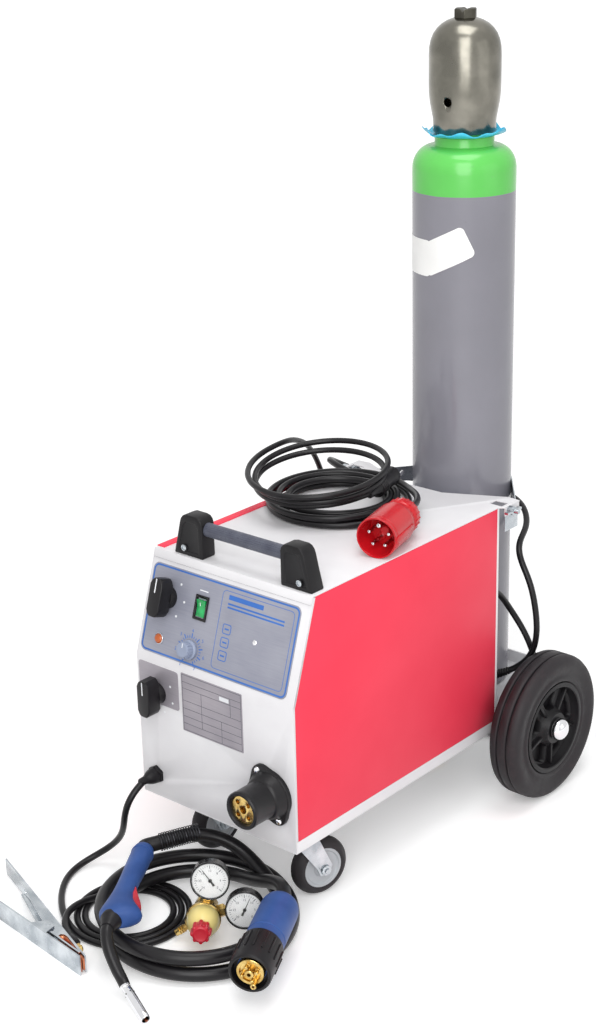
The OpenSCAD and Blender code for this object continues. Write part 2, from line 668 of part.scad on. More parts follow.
module gas_cylinder() {
  wall = 4.5;
  shoulder = [for (a = [0 : 15 : 90])
    [neck_d / 2 + (cyl_r - neck_d / 2) * cos(a), cyl_wall_h + shoulder_h * sin(a)]];
  inner = [for (a = [0 : 15 : 90])
    [neck_d / 2 - wall + (cyl_r - neck_d / 2) * cos(a), cyl_wall_h + (shoulder_h - wall) * sin(a)]];
  top = cyl_wall_h + shoulder_h;
  color([0.55, 0.57, 0.6]) translate([0, cyl_y, shelf_z]) rotate_extrude() polygon(concat(
    [[0, 12], [cyl_r - 22, 5], [cyl_r - 12, 0], [cyl_r - 4, 0], [cyl_r, 5]], shoulder,
    [[collar_r, top], [collar_r, top + collar_h], [neck_r, top + collar_h],
      [neck_r, top + neck_h], [valve_r, top + neck_h], [valve_r, top - wall]],
    turned(inner), [[cyl_r - wall, 22], [cyl_r - 22, 14], [0, 20]]));
}
module cylinder_valve() {
  top = cyl_neck_z + neck_h;
  color("goldenrod") translate([0, cyl_y, 0]) {
    translate([0, 0, cyl_neck_z]) cylinder(r = valve_r, h = neck_h);
    translate([0, 0, top]) cylinder(r = valve_r + 3, h = 34);
    translate([0, 0, top + 18]) rotate([90, 0, 0]) cylinder(r = 10.9, h = 32);
    translate([0, 0, top + 34]) cylinder(r = 6, h = 16);
    translate([0, 0, top + 42]) cylinder(r = 24, h = 12);
  }
}
module cylinder_cap() {
  dome = [for (a = [0 : 15 : 60])
    [cap_d / 2 * cos(a), cap_h - cap_dome + cap_dome * sin(a) / sin(75)]];
  inner = [for (a = [0 : 15 : 60]) [(cap_d / 2 - cap_t) * cos(a),
    cap_h - cap_dome + (cap_dome - cap_t) * sin(a) / sin(75)]];
  color("silver") translate([0, cyl_y, cap_z]) difference() {
    union() {
      rotate_extrude() polygon(concat(
        [[cap_foot_d / 2 - cap_t, 0], [cap_foot_d / 2, 0], [cap_foot_d / 2, 14],
          [cap_d / 2, cap_wide_z - cap_z]], dome, [[0, cap_h]],
        [[0, cap_h - cap_t]], turned(inner),
        [[cap_d / 2 - cap_t, cap_wide_z - cap_z], [cap_foot_d / 2 - cap_t, 14]]));
      translate([0, 0, cap_h - 5]) cylinder(r = 16, h = 16, $fn = 6);
    }
    translate([0, 0, cap_h + 16]) rotate([0, 45, 20]) cube([14, 60, 14], center = true);
    rotate([0, 0, -83]) for (k = [0, 1]) rotate([0, 0, 180 * k])
      translate([30, 0, 43]) rotate([0, 90, 0]) cylinder(r = 6, h = 30);
  }
}
module cap_washer() {
  color("turquoise") translate([0, cyl_y, washer_z]) difference() {
    cylinder(r = washer_d / 2, h = washer_t);
    translate([0, 0, -through]) cylinder(r = neck_r + 0.3, h = washer_t + 2 * through);
  }
}
// Flat strap round the rear of the cylinder, its bolts and the cradle in front
module cylinder_strap() {
  r = cyl_r + cradle_gap;
  p = [strap_end_x, strap_arm_y + 22 - cyl_y];
  far = norm(p);
  a = atan2(p[1], p[0]) + acos((r + strap_t / 2) / far);
  arm = sqrt(far * far - pow(r + strap_t / 2, 2));
  reach = 4 * cyl_r;
  color("lightgray") {
    translate([0, cyl_y, strap_z]) linear_extrude(strap_h) {
      intersection() {
        difference() {
          circle(r = r + strap_t);
          circle(r = r);
        }
        polygon([[0, 0], [reach * cos(a), reach * sin(a)], [0, reach],
          [-reach * cos(a), reach * sin(a)]]);
      }
      both_sides() rotate(a) translate([r, -arm]) square([strap_t, arm]);
    }
    both_sides() {
      difference() {
        translate([strap_end_x - strap_t / 2, strap_arm_y - 8, strap_z])
          cube([strap_t, 30, lid_z - seat_gap - strap_z]);
        along_x(strap_end_x - 4, strap_arm_y, ear_bolt_z) cylinder(r = 3, h = 8);
      }
      along_x(strap_end_x - 6, strap_arm_y, ear_bolt_z) cylinder(r = 3, h = 24);
      along_x(ear_out + seat_gap, strap_arm_y, ear_bolt_z) cylinder(r = 6, h = 8);
      translate([ear_out + 3, strap_arm_y - 16, ear_bolt_z - 1.5]) cube([6, 32, 3]);
    }
    // Cradle on the rear panel
    difference() {
      union() {
        translate([-60, body_d, strap_z]) cube([120, 3, strap_h]);
        translate([-60, body_d, strap_z + strap_h / 2]) cube([120, 46, 3]);
      }
      translate([0, cyl_y, strap_z - through]) cylinder(r = r, h = strap_h + 2 * through);
    }
  }
}

// ---- Casters ----
// Fork turned to its rest place, and the frame of its wheel's axle
module at_caster(side, turn) {
  translate([side * caster_x, caster_y, 0]) rotate([0, 0, turn]) children();
}
module caster_fork() {
  color("silver") {
    difference() {
      union() {
        translate([0, 0, fork_top - 3]) cylinder(r = 24, h = 3);
        for (s = [-1, 1]) translate([s * (fork_in + fork_t / 2) - fork_t / 2, 0, 0]) {
          side_profile([[-17, fork_top], [20, fork_top], [caster_trail + 11, caster_r + 4],
            [caster_trail + 7, caster_r - 8], [caster_trail - 7, caster_r - 8],
            [caster_trail - 12, caster_r + 4]], 0, fork_t);
        }
      }
      translate([0, 0, fork_top - 4]) cylinder(r = pin_r + run_gap, h = 5);
    }
    along_x(-fork_in - fork_t - 3, caster_trail, caster_r)
      cylinder(r = caster_axle_d / 2, h = 2 * (fork_in + fork_t + 3));
    for (x = [-fork_in - fork_t - 4, fork_in + fork_t]) along_x(x, caster_trail, caster_r)
      cylinder(r = caster_axle_d / 2 + 3, h = 4);
  }
}
module caster_wheel() {
  e = [for (a = [0 : 18 : 90]) [caster_r - 7 + 7 * sin(a), 7 - 7 * cos(a)]];
  bead = caster_r * 0.7;
  color([0.15, 0.15, 0.16]) difference() {
    rotate_extrude() polygon(concat(
      [[0, 0], [caster_r - 28, 0], [caster_r - 24, 4], [bead - 2, 4], [bead, 1]], e,
      [for (p = turned(e)) [p[0], caster_w - p[1]]],
      [[bead, caster_w - 1], [bead - 2, caster_w - 4], [caster_r - 24, caster_w - 4],
        [caster_r - 28, caster_w], [0, caster_w]]));
    translate([0, 0, -through])
      cylinder(r = caster_axle_d / 2 + run_gap, h = caster_w + 2 * through);
  }
}
module caster_fork_left() {
  at_caster(-1, caster_turn_left) caster_fork();
}
module caster_fork_right() {
  at_caster(1, caster_turn_right) caster_fork();
}
module caster_wheel_left() {
  at_caster(-1, caster_turn_left) along_x(-caster_w / 2, caster_trail, caster_r) caster_wheel();
}
module caster_wheel_right() {
  at_caster(1, caster_turn_right) along_x(-caster_w / 2, caster_trail, caster_r) caster_wheel();
}

// ---- Handle ----
module handle_brackets() {
  foot = bracket_out - handle_shift;
  color([0.13, 0.13, 0.14]) translate([handle_shift, grip_y, body_top]) both_sides()
    difference() {
      translate([0, bracket_d / 2, 0]) rotate([90, 0, 0]) linear_extrude(bracket_d) polygon([
        [foot - bracket_w, 0], [foot, 0], [foot - 12, bracket_h - 9], [foot - 16, bracket_h - 3],
        [foot - 22, bracket_h], [foot - bracket_w + 9, bracket_h],
        [foot - bracket_w + 2, bracket_h - 4], [foot - bracket_w, bracket_h - 10]]);
      along_x(foot - bracket_w - through, 0, grip_h)
        cylinder(r = grip_d / 2 + run_gap, h = grip_in + through);
    }
}
module handle_grip() {
  half = bracket_out - handle_shift - bracket_w + grip_in;
  color([0.3, 0.33, 0.4]) along_x(handle_shift - half, grip_y, body_top + grip_h) difference() {
    cylinder(r = grip_d / 2, h = 2 * half);
    for (a = [30 : 60 : 330]) rotate([0, 0, a])
      translate([grip_d / 2, 0, grip_in + 2]) cylinder(r = 0.8, h = 2 * (half - grip_in - 2));
  }
}

// ---- Front ----
module front_plates() {
  color("slategray") {
    difference() {
      on_slope(decal_x, decal_mid) translate([0, 0, decal_t / 2])
        cube([decal_w, decal_h, decal_t], center = true);
      on_slope(upper_knob_x, upper_knob_t) cylinder(r = shaft_d / 2 + run_gap, h = 8, center = true);
      on_slope(pot_x, pot_t) cylinder(r = shaft_d / 2 + run_gap, h = 8, center = true);
      on_slope(lamp_x, lamp_t) cylinder(r = lamp_hole_r, h = 8, center = true);
      on_slope(rocker_x, rocker_t) cube([rocker_w - 4, rocker_h - 4, 8], center = true);
    }
    difference() {
      on_front(lower_knob_x, lower_knob_z + 11) translate([2, 0, plate_t / 2])
        cube([70, 54, plate_t], center = true);
      on_front(lower_knob_x, lower_knob_z)
        cylinder(r = shaft_d / 2 + run_gap, h = 8, center = true);
    }
    on_front(-2, 259.5) translate([0, 0, plate_t / 2]) cube([104, 81, plate_t], center = true);
  }
}
// Rocker's housing with its frame, and the gland of the earth cable
module front_fittings() {
  w = rocker_w - 4;
  h = rocker_h - 4;
  color([0.1, 0.1, 0.1]) {
    on_slope(rocker_x, rocker_t) difference() {
      union() {
        translate([-rocker_w / 2, -rocker_h / 2, decal_t]) cube([rocker_w, rocker_h, 2]);
        translate([-w / 2, -h / 2, -20]) cube([w, h, 22]);
      }
      translate([-w / 2 + 1.5, -h / 2 + 1.5, -12]) cube([w - 3, h - 3, 20]);
      translate([-w, 0, rocker_pivot]) rotate([0, 90, 0]) cylinder(r = 1, h = 2 * w);
    }
    on_front(-earth_x, earth_z) {
      translate([0, 0, -10]) cylinder(r = gland_hole_r - run_gap, h = 11);
      translate([0, 0, -sheet_t - 4]) cylinder(r = 12, h = 4, $fn = 6);
      cylinder(r = 13, h = 5, $fn = 6);
      translate([0, 0, 5]) cylinder(r1 = 10.5, r2 = earth_d / 2 + 2, h = gland_out - 5);
    }
    on_slope(57.5, decal_low + 56) translate([0, 0, decal_t]) cylinder(r = 3, h = 1);
  }
  color("orange") on_slope(lamp_x, lamp_t) {
    translate([0, 0, -14]) cylinder(r = lamp_hole_r - run_gap, h = 15);
    translate([0, 0, decal_t]) cylinder(r = lamp_d / 2, h = 1.5);
    translate([0, 0, decal_t + 1.5]) rotate_extrude() polygon(concat([[0, 0]],
      [for (a = [0 : 15 : 75]) [(lamp_d / 2 - 1) * cos(a), 4 * sin(a)]], [[0, 4]]));
  }
}
// Pointer knob on its shaft, which reaches into the switch behind the sheet
module pointer_knob() {
  color([0.12, 0.12, 0.12]) {
    translate([0, 0, -shaft_in]) cylinder(r = shaft_d / 2, h = shaft_in + 4);
    translate([0, 0, plate_t + seat_gap]) cylinder(r1 = knob_wid / 2 + 4, r2 = knob_wid / 2 + 2, h = 7);
    translate([0, 0, plate_t + seat_gap + 7]) linear_extrude(knob_out - 7) polygon([
      [-knob_wid / 2 + 4, knob_len / 2], [knob_wid / 2 - 4, knob_len / 2],
      [knob_wid / 2, knob_len / 2 - 6], [knob_wid / 2, -knob_len / 2 + 6],
      [knob_wid / 2 - 4, -knob_len / 2], [-knob_wid / 2 + 4, -knob_len / 2],
      [-knob_wid / 2, -knob_len / 2 + 6], [-knob_wid / 2, knob_len / 2 - 6]]);
  }
}
module upper_knob() {
  on_slope(upper_knob_x, upper_knob_t) pointer_knob();
}
module lower_knob() {
  on_front(lower_knob_x, lower_knob_z) pointer_knob();
}
module pot_knob() {
  color([0.6, 0.65, 0.72]) on_slope(pot_x, pot_t) {
    translate([0, 0, -shaft_in]) cylinder(r = shaft_d / 2, h = shaft_in + 4);
    translate([0, 0, decal_t + seat_gap]) cylinder(r = pot_d / 2, h = 4);
    translate([0, 0, decal_t + seat_gap + 4]) cylinder(r1 = pot_d / 2 - 2, r2 = pot_d / 2 - 3, h = 11);
  }
}
module rocker() {
  w = rocker_w - 8;
  h = (rocker_h - 10) / 2;
  color("forestgreen") on_slope(rocker_x, rocker_t) translate([0, 0, rocker_pivot])
    rotate([rocker_tilt, 0, 0]) {
      translate([-w / 2, 0, 0]) rotate([90, 0, 90]) linear_extrude(w)
        polygon([[-h, 5.5], [0, 3.5], [h, 5.5], [h - 1, -4], [0, -6], [-h + 1, -4]]);
      translate([-w / 2 - 1.2, 0, 0]) rotate([0, 90, 0]) cylinder(r = 1 - run_gap, h = w + 2.4);
    }
}
// Central socket of the torch: insulating body and brass core
module euro_socket() {
  r = euro_d / 2;
  color([0.1, 0.1, 0.1]) on_front(euro_x, euro_z) difference() {
    union() {
      linear_extrude(7) polygon([for (a = [0 : 6 : 354])
        let (lobe = max(0, cos(2 * (a - euro_lobe))), q = r + 9 + 7.5 * pow(lobe, 3))
        [q * cos(a), q * sin(a)]]);
      translate([0, 0, 7]) cylinder(r1 = r + 7, r2 = r + 2, h = 12);
      translate([0, 0, 19]) cylinder(r = r, h = euro_out - 19);
      translate([0, 0, -9]) cylinder(r = euro_hole_r - run_gap, h = 10);
    }
    translate([0, 0, -10]) cylinder(r = core_d / 2 + run_gap, h = euro_out + 20);
  }
  color("silver") on_front(euro_x, euro_z) for (k = [0, 1])
    rotate([0, 0, euro_lobe + 180 * k]) translate([r + 10, 0, 7]) cylinder(r = 3.6, h = 2.5);
}
module euro_core() {
  color("goldenrod") on_front(euro_x, euro_z) difference() {
    translate([0, 0, -30]) cylinder(r = core_d / 2, h = 30 + euro_out - 4);
    translate([0, 0, -30 - through]) cylinder(r = core_bore / 2, h = 32 + euro_out);
    for (a = [45 : 90 : 315]) rotate([0, 0, a]) translate([core_d / 2 - 6.5, 0, euro_out - 24])
      cylinder(r = 3, h = 30);
  }
}
// Mains gland, gas inlet and the fan's frame
module rear_fittings() {
  color([0.2, 0.2, 0.2]) {
    on_rear(mains_gland_x, mains_gland_z) {
      translate([0, 0, -9]) cylinder(r = gland_hole_r - run_gap, h = 10);
      translate([0, 0, -sheet_t - 4]) cylinder(r = 12, h = 4, $fn = 6);
      cylinder(r = 13, h = 5, $fn = 6);
      translate([0, 0, 5]) cylinder(r1 = 10.5, r2 = mains_d / 2 + 2, h = gland_out - 5);
    }
    on_rear(aux_gland_x, aux_gland_z) {
      translate([0, 0, -9]) cylinder(r = gland_hole_r - run_gap, h = 10);
      cylinder(r = 12, h = 5, $fn = 6);
      translate([0, 0, 5]) cylinder(r1 = 9, r2 = aux_d / 2 + 2, h = gland_out - 5);
    }
    on_rear(gas_in_x, gas_in_z) {
      translate([0, 0, -14]) cylinder(r = 6, h = 14);
      translate([0, 0, -14]) cube([30, 26, 20], center = true);
      cylinder(r = 10, h = 5, $fn = 6);
      translate([0, 0, 5]) cylinder(r = 6, h = 7);
    }
    translate([fan_x, body_d - sheet_t, fan_z]) rotate([90, 0, 0]) difference() {
      translate([-fan_size / 2, -fan_size / 2, 0]) cube([fan_size, fan_size, fan_t]);
      translate([0, 0, -through]) cylinder(r = fan_size / 2 - 4, h = fan_t - 5 + through);
      for (k = [0 : 3]) rotate([0, 0, 90 * k + 45]) translate([20, -20, fan_t - 6])
        cube([fan_size / 2 - 26, 40, 8]);
      cylinder(r = 4 + run_gap, h = fan_t + through);
    }
  }
}
module fan_blades() {
  color([0.25, 0.25, 0.27]) translate([fan_x, body_d - sheet_t, fan_z]) rotate([90, 0, 0]) {
    translate([0, 0, 4]) cylinder(r = 4, h = fan_t - 4);
    translate([0, 0, 3]) cylinder(r = 19, h = fan_t - 9 - seat_gap);
    for (k = [0 : 6]) rotate([0, 0, 360 / 7 * k]) translate([17, 0, fan_t / 2 - 1])
      rotate([30, 0, 0]) translate([0, -10, -1]) cube([fan_size / 2 - 24, 20, 2]);
  }
}

// ---- Inside ----
// Transformer, choke, rectifier and the switches behind the knobs
module electrics() {
  t = base_z + pan_t;
  color([0.45, 0.4, 0.35]) {
    translate([core_x, core_y, t]) {
      for (z = [0, yoke_h + leg_h]) translate([0, 0, z]) cube([core_l, core_b, yoke_h]);
      for (k = [0 : 2]) translate([k * (core_l - leg_l) / 2, 10, yoke_h])
        cube([leg_l, core_b - 20, leg_h]);
    }
    translate([core_x + 12, core_y + core_b + 36, t]) cube(choke);
    translate([partition_x - rectifier[0] - 16, core_y - rectifier[1] - 30, t]) cube(rectifier);
    translate([partition_x - board[0], core_y + 10, t + board_up]) cube(board);
    difference() {
      on_slope(upper_knob_x, upper_knob_t) translate([-24, -24, -45]) cube([48, 48, 45 - sheet_t]);
      on_slope(upper_knob_x, upper_knob_t) translate([0, 0, -shaft_in - 1])
        cylinder(r = shaft_d / 2 + run_gap, h = shaft_in);
    }
    difference() {
      on_front(lower_knob_x, lower_knob_z) translate([-23, -23, -45]) cube([46, 46, 45 - sheet_t]);
      on_front(lower_knob_x, lower_knob_z) translate([0, 0, -shaft_in - 1])
        cylinder(r = shaft_d / 2 + run_gap, h = shaft_in);
    }
    difference() {
      on_slope(pot_x, pot_t) translate([0, 0, -22]) cylinder(r = 12, h = 22 - sheet_t);
      on_slope(pot_x, pot_t) translate([0, 0, -shaft_in - 1])
        cylinder(r = shaft_d / 2 + run_gap, h = shaft_in);
    }
  }
}
module feed_motor() {
  px = partition_x + sheet_t;
  color([0.35, 0.37, 0.4]) {
    difference() {
      union() {
        along_x(px, feed_y, feed_z) translate([-30, euro_y_in - feed_y, 0])
          cube([56, 148 - euro_y_in, feed_plate_t]);
        along_x(px, feed_y, feed_z) cylinder(r = 20, h = feed_plate_t + feed_stand);
      }
      along_x(px + 3, feed_y, feed_z) cylinder(r = 4 + run_gap, h = feed_plate_t + feed_stand);
    }
    translate([px + 30, feed_y + 18, feed_z - 14]) rotate([-90, 0, 0]) cylinder(r = 24, h = 86);
    translate([px, feed_y + 21, feed_z - 20]) cube([20, 30, 12]);
    along_x(px + feed_plate_t, feed_y + 40, feed_z + 22) cylinder(r = 4, h = feed_stand + 30);
    along_x(px, spool_y, spool_z) cylinder(r = 30, h = 4);
    along_x(px + 4, spool_y, spool_z) cylinder(r = spool_bore / 2, h = spool_w + 2);
    along_x(px + 4 + spool_w + 2 * seat_gap, spool_y, spool_z)
      cylinder(r = spool_bore / 2 + 4, h = 5);
    translate([feed_x - 7, euro_y_in, feed_z - 7 + roll_d / 2 + 1]) cube([14, 22, 14]);
    translate([px + feed_plate_t, euro_y_in + 3, feed_z + 4])
      cube([feed_x - 7 - px - feed_plate_t, 12, 10]);
  }
}
module drive_roll() {
  px = partition_x + sheet_t + feed_plate_t + feed_stand;
  color("silver") {
    along_x(px - 10, feed_y, feed_z) cylinder(r = 4, h = feed_x - px + 18);
    along_x(feed_x - 6, feed_y, feed_z) difference() {
      cylinder(r = roll_d / 2, h = 12);
      translate([0, 0, 6]) rotate_extrude() translate([roll_d / 2, 0]) circle(r = 0.6, $fn = 4);
    }
  }
}
module pressure_arm() {
  px = partition_x + sheet_t + feed_plate_t;
  color([0.5, 0.5, 0.52]) {
    difference() {
      union() {
        along_x(px + feed_stand, feed_y + 40, feed_z + 22) cylinder(r = 9, h = 24);
        translate([px + feed_stand + 4, feed_y - 14, feed_z + roll_d - 4]) cube([10, 46, 12]);
        translate([px + feed_stand + 4, feed_y + 26, feed_z + 18]) cube([10, 12, 24]);
      }
      along_x(px + feed_stand - 1, feed_y + 40, feed_z + 22) cylinder(r = 4 + run_gap, h = 30);
    }
    along_x(px + feed_stand + 12, feed_y, feed_z + roll_d + 1.6)
      cylinder(r = 4, h = feed_x - px - feed_stand);
    along_x(feed_x - 6, feed_y, feed_z + roll_d + 1.6) cylinder(r = roll_d / 2, h = 12);
  }
}
module wire_spool() {
  x = partition_x + sheet_t + 4 + seat_gap;
  color([0.75, 0.55, 0.35]) along_x(x, spool_y, spool_z) difference() {
    union() {
      cylinder(r = spool_d / 2, h = 3);
      cylinder(r = spool_d / 2 - 18, h = spool_w);
      translate([0, 0, spool_w - 3]) cylinder(r = spool_d / 2, h = 3);
    }
    translate([0, 0, -through]) cylinder(r = spool_bore / 2 + run_gap, h = spool_w + 2 * through);
  }
}

// ---- Torch ----
// Frame at a with its Z axis pointing at b
module aim(a, b) {
  d = b - a;
  translate(a) rotate([0, acos(d[2] / norm(d)), atan2(d[1], d[0])]) children();
}
module torch_handle() {
  n = norm(torch_b - torch_a);
  color("royalblue") aim(torch_a, torch_b) difference() {
    rotate_extrude() polygon([[0, 0], [11.5, 0], [13, 6], [13.5, 40], [12.5, 90], [14, n - 44],
      [21, n - 24], [22, n - 18], [21, n - 14], [14, n - 8], [0, n - 8]]);
    side_profile([[4, 84], [40, 84], [40, 140], [4, 140]], -4.4, 8.8);
    translate([-8, trigger_y, trigger_z]) rotate([0, 90, 0]) cylinder(r = 2 + run_gap, h = 16);
  }
}
module torch_trigger() {
  color("firebrick") aim(torch_a, torch_b) {
    side_profile([[6, 86], [14, 86], [19, 100], [26, 122], [27, 132], [24, 137], [19, 137],
      [15, 122], [10, 106]], -4, 8);
    translate([-7.8, trigger_y, trigger_z]) rotate([0, 90, 0]) cylinder(r = 2, h = 15.6);
  }
}
module torch_neck() {
  n = norm(torch_b - torch_a);
  line = smooth_line(neck_points, 4);
  color([0.12, 0.12, 0.12]) {
    aim(torch_a, torch_b) translate([0, 0, n - 8 + seat_gap])
      cylinder(r1 = 13.5, r2 = 9, h = 14);
    sweep(line, 7, 10);
    sweep(smooth_line(boot_points, 3), 9.5, 10);
  }
  color("silver") {
    aim(nozzle_a, torch_tip) {
      difference() {
        union() {
          translate([0, 0, -2]) cylinder(r = 6.2, h = 10);
          cylinder(r = nozzle_d / 2, h = norm(torch_tip - nozzle_a));
        }
        translate([0, 0, 22]) cylinder(r = nozzle_d / 2 - 1, h = 60);
      }
      cylinder(r = 2.5, h = norm(torch_tip - nozzle_a) - 6);
    }
    sweep(curl_line(boot_points[3], boot_end, 11.2, 9), 1, 6);
  }
}
// Sleeve, brass core and pins of the torch's plug
module plug_sleeve() {
  n = norm(plug_b - plug_a);
  color("royalblue") aim(plug_a, plug_b) {
    difference() {
      rotate_extrude() polygon([[0, 0], [plug_r - 12, 0], [plug_r - 1, 10], [plug_r, 14],
        [plug_r, plug_sleeve_l], [18, plug_sleeve_l], [18, n - 12], [0, n - 12]]);
    }
    cylinder(r = 17, h = n - 3);
    cylinder(r = 5, h = n);
    for (a = [20 : 90 : 290]) rotate([0, 0, a]) translate([11.5, 0, 0]) cylinder(r = 2.4, h = n + 3);
  }
}
module plug_collar() {
  n = norm(plug_b - plug_a);
  r = plug_r + 2;
  color([0.12, 0.12, 0.12]) aim(plug_a, plug_b) difference() {
    union() {
      translate([0, 0, plug_sleeve_l + seat_gap]) cylinder(r = r, h = n - plug_sleeve_l - seat_gap);
      for (a = [0 : 30 : 330]) rotate([0, 0, a]) translate([r, 0, plug_sleeve_l + 6])
        cylinder(r = 1.4, h = 26);
    }
    translate([0, 0, plug_sleeve_l - through]) cylinder(r = 18 + run_gap, h = n);
    translate([0, 0, n - 12]) cylinder(r = 22, h = 14);
  }
}

// ---- Regulator ----
module regulator_frame() {
  translate(reg_at) rotate([0, 78, -50]) children();
}
function gauge_at(a) = [-gauge_out * sin(a), gauge_out * cos(a), 0];
module regulator_body() {
  color("goldenrod") regulator_frame() {
    difference() {
      union() {
        translate([0, 0, -34]) cylinder(r = 15, h = 36);
        translate([0, 0, -6]) cylinder(r = 22, h = 8);
        rotate_extrude() polygon([[0, 2], [20, 2], [18.6, 20], [13, 28], [9, 31], [0, 31]]);
      }
      translate([0, 0, 12]) cylinder(r = 3 + run_gap, h = 30);
    }
    translate([0, 0, -44]) cylinder(r = 8, h = 12);
    difference() {
      translate([0, 0, -60]) cylinder(r = 15, h = 18, $fn = 6);
      translate([0, 0, -61]) cylinder(r = 10.9, h = 15);
    }
    for (a = [79, 16]) rotate([0, 0, 90 + a]) translate([12, 0, -14]) rotate([0, 90, 0])
      cylinder(r = stem_r, h = gauge_out - gauge_d / 2 - stub_out - seat_gap - 12);
    rotate([0, 0, 90 + 212]) translate([12, 0, -14]) rotate([0, 90, 0]) {
      cylinder(r = 7, h = 12);
      cylinder(r = tail_d / 2, h = 30);
      for (k = [0 : 1]) translate([0, 0, 22 + 5 * k])
        cylinder(r1 = tail_d / 2 + 1, r2 = tail_d / 2, h = 4);
    }
  }
}
module regulator_knob() {
  color("firebrick") regulator_frame() {
    translate([0, 0, 13]) cylinder(r = 3, h = 22);
    translate([0, 0, 31 + seat_gap]) {
      cylinder(r = 10.5, h = 20);
      for (a = [0 : 45 : 315]) rotate([0, 0, a]) translate([9.6, 0, 0]) cylinder(r = 3, h = 19);
    }
  }
}
module gauges() {
  color([0.15, 0.15, 0.15]) regulator_frame() for (a = [79, 16]) translate(gauge_at(a))
    difference() {
      union() {
        translate([0, 0, -9]) cylinder(r = gauge_d / 2, h = 20);
        rotate([0, 0, 90 + a]) translate([-gauge_d / 2 - stub_out, -stem_r, -14 - stem_r])
          cube([12, 2 * stem_r, 7 + stem_r]);
      }
      translate([0, 0, 8]) cylinder(r = gauge_d / 2 - 2, h = 4);
      translate([0, 0, 5]) cylinder(r = 1 + run_gap, h = 6);
    }
}
module needle(turn) {
  color([0.1, 0.1, 0.1]) {
    translate([0, 0, 5.5]) cylinder(r = 1, h = 4);
    translate([0, 0, 8 + seat_gap]) cylinder(r = 2.2, h = 1.6);
    rotate([0, 0, turn]) translate([0, 0, 8.7]) linear_extrude(0.6)
      polygon([[-0.8, -7], [0.8, -7], [0.4, 16], [-0.4, 16]]);
  }
}
module needle_high() {
  regulator_frame() translate(gauge_at(79)) needle(125);
}
module needle_low() {
  regulator_frame() translate(gauge_at(16)) needle(65);
}

// ---- Earth clamp, lying on its side ----
module clamp_frame() {
  translate([clamp_tip[0], clamp_tip[1], 0]) rotate([0, 0, clamp_turn]) children();
}
module clamp_upper() {
  w = clamp_h - 2 * clamp_lift;
  color("silver") clamp_frame() translate([0, 0, clamp_lift]) {
    difference() {
      translate([0, 0, 0]) cube([clamp_len, 2, w]);
      translate([clamp_len - 70, -1, w / 2]) rotate([-90, 0, 0]) cylinder(r = 5, h = 4);
    }
    difference() {
      for (z = [0, w - 2]) translate([0, 0, z]) linear_extrude(2) polygon([[12, 0], [12, 5],
        [clamp_pivot[0] - 12, clamp_pivot[1] + 4], [clamp_pivot[0], clamp_pivot[1] + 8],
        [clamp_pivot[0] + 12, clamp_pivot[1] + 2], [clamp_len - 60, 5], [clamp_len - 60, 0]]);
      translate([clamp_pivot[0], clamp_pivot[1], -1]) cylinder(r = 3 + run_gap, h = w + 2);
    }
  }
  color("goldenrod") clamp_frame() {
    translate([34, 0, clamp_h / 2]) rotate([90, 0, 0]) cylinder(r = 4, h = 9);
    translate([34, -2, clamp_h / 2]) rotate([90, 0, 0]) cylinder(r = 7, h = 5, $fn = 6);
  }
  color([0.1, 0.1, 0.1]) clamp_frame() {
    translate([30, -2, clamp_h / 2 - 7]) cube([20, 2, 14]);
    translate([46, clamp_lug[1], clamp_lug[2]]) rotate([0, 90, 0])
      cylinder(r = earth_d / 2 + 1, h = clamp_lug[0] - 46);
  }
  color("sienna") clamp_frame() translate([0.5, 2, clamp_lift + 4]) cube([34, 2.4, w - 8]);
}
module clamp_lower() {
  color("silver") clamp_frame() translate([0, 2 * clamp_mouth, 0]) rotate([0, 0, clamp_gape]) {
    translate([0, -2, 0]) cube([clamp_len_low, 2, clamp_h]);
  }
  color("silver") clamp_frame() {
    difference() {
      for (z = [0.3, clamp_h - 2.3]) translate([0, 0, z]) linear_extrude(2) polygon([
        [clamp_pivot[0] - 16, clamp_low_y(clamp_pivot[0] - 16)],
        [clamp_pivot[0] - 8, clamp_pivot[1] - 5], [clamp_pivot[0] + 8, clamp_pivot[1] - 5],
        [clamp_pivot[0] + 16, clamp_low_y(clamp_pivot[0] + 16)]]);
    }
    translate([clamp_pivot[0], clamp_pivot[1], 0]) cylinder(r = 3, h = clamp_h);
  }
  color("sienna") clamp_frame() translate([0, 2 * clamp_mouth, 4]) rotate([0, 0, clamp_gape])
    translate([0.5, -4.4, 0]) cube([34, 2.4, clamp_h - 8]);
}

// ---- Cords ----
module cord(points, d, steps = 3, sides = 8) {
  color([0.1, 0.1, 0.1]) sweep(smooth_line(points, steps), d / 2, sides);
}
// Flat or piled loops: radius runs from r0 to r1 and back as the layer changes
function pile_r(t, turns, r0, r1, layers) = layers == 1
  ? r0 + (r1 - r0) * t / turns
  : r0 + (r1 - r0) * (1 - abs(2 * t / turns - 1));
function pile_z(t, turns, z, step, layers) = layers == 1 ? z
  : z + step * min(1, max(0, (t - turns / 2 + 0.25) / 0.5));
function pile(at, turns, a0, dir, r0, r1, step, layers) = let (n = round(24 * turns))
  [for (i = [0 : n]) let (t = turns * i / n, a = a0 + dir * 360 * t,
    r = pile_r(t, turns, r0, r1, layers))
    [at[0] + r * cos(a), at[1] + r * sin(a), pile_z(t, turns, at[2], step, layers)]];
// Short straight runs that end a coil, and the points a gap before and after it
function ended(p) = let (n = len(p) - 1,
  a = unit(1.5 * (p[1] - p[0]) - 0.5 * (p[2] - p[1])),
  b = unit(1.5 * (p[n] - p[n - 1]) - 0.5 * (p[n - 1] - p[n - 2])))
  concat([p[0] - end_run * a], p, [p[n] + end_run * b]);
function before(p, gap) = p[0] - gap * unit(p[1] - p[0]);
function after(p, gap) = let (n = len(p) - 1) p[n] + gap * unit(p[n] - p[n - 1]);
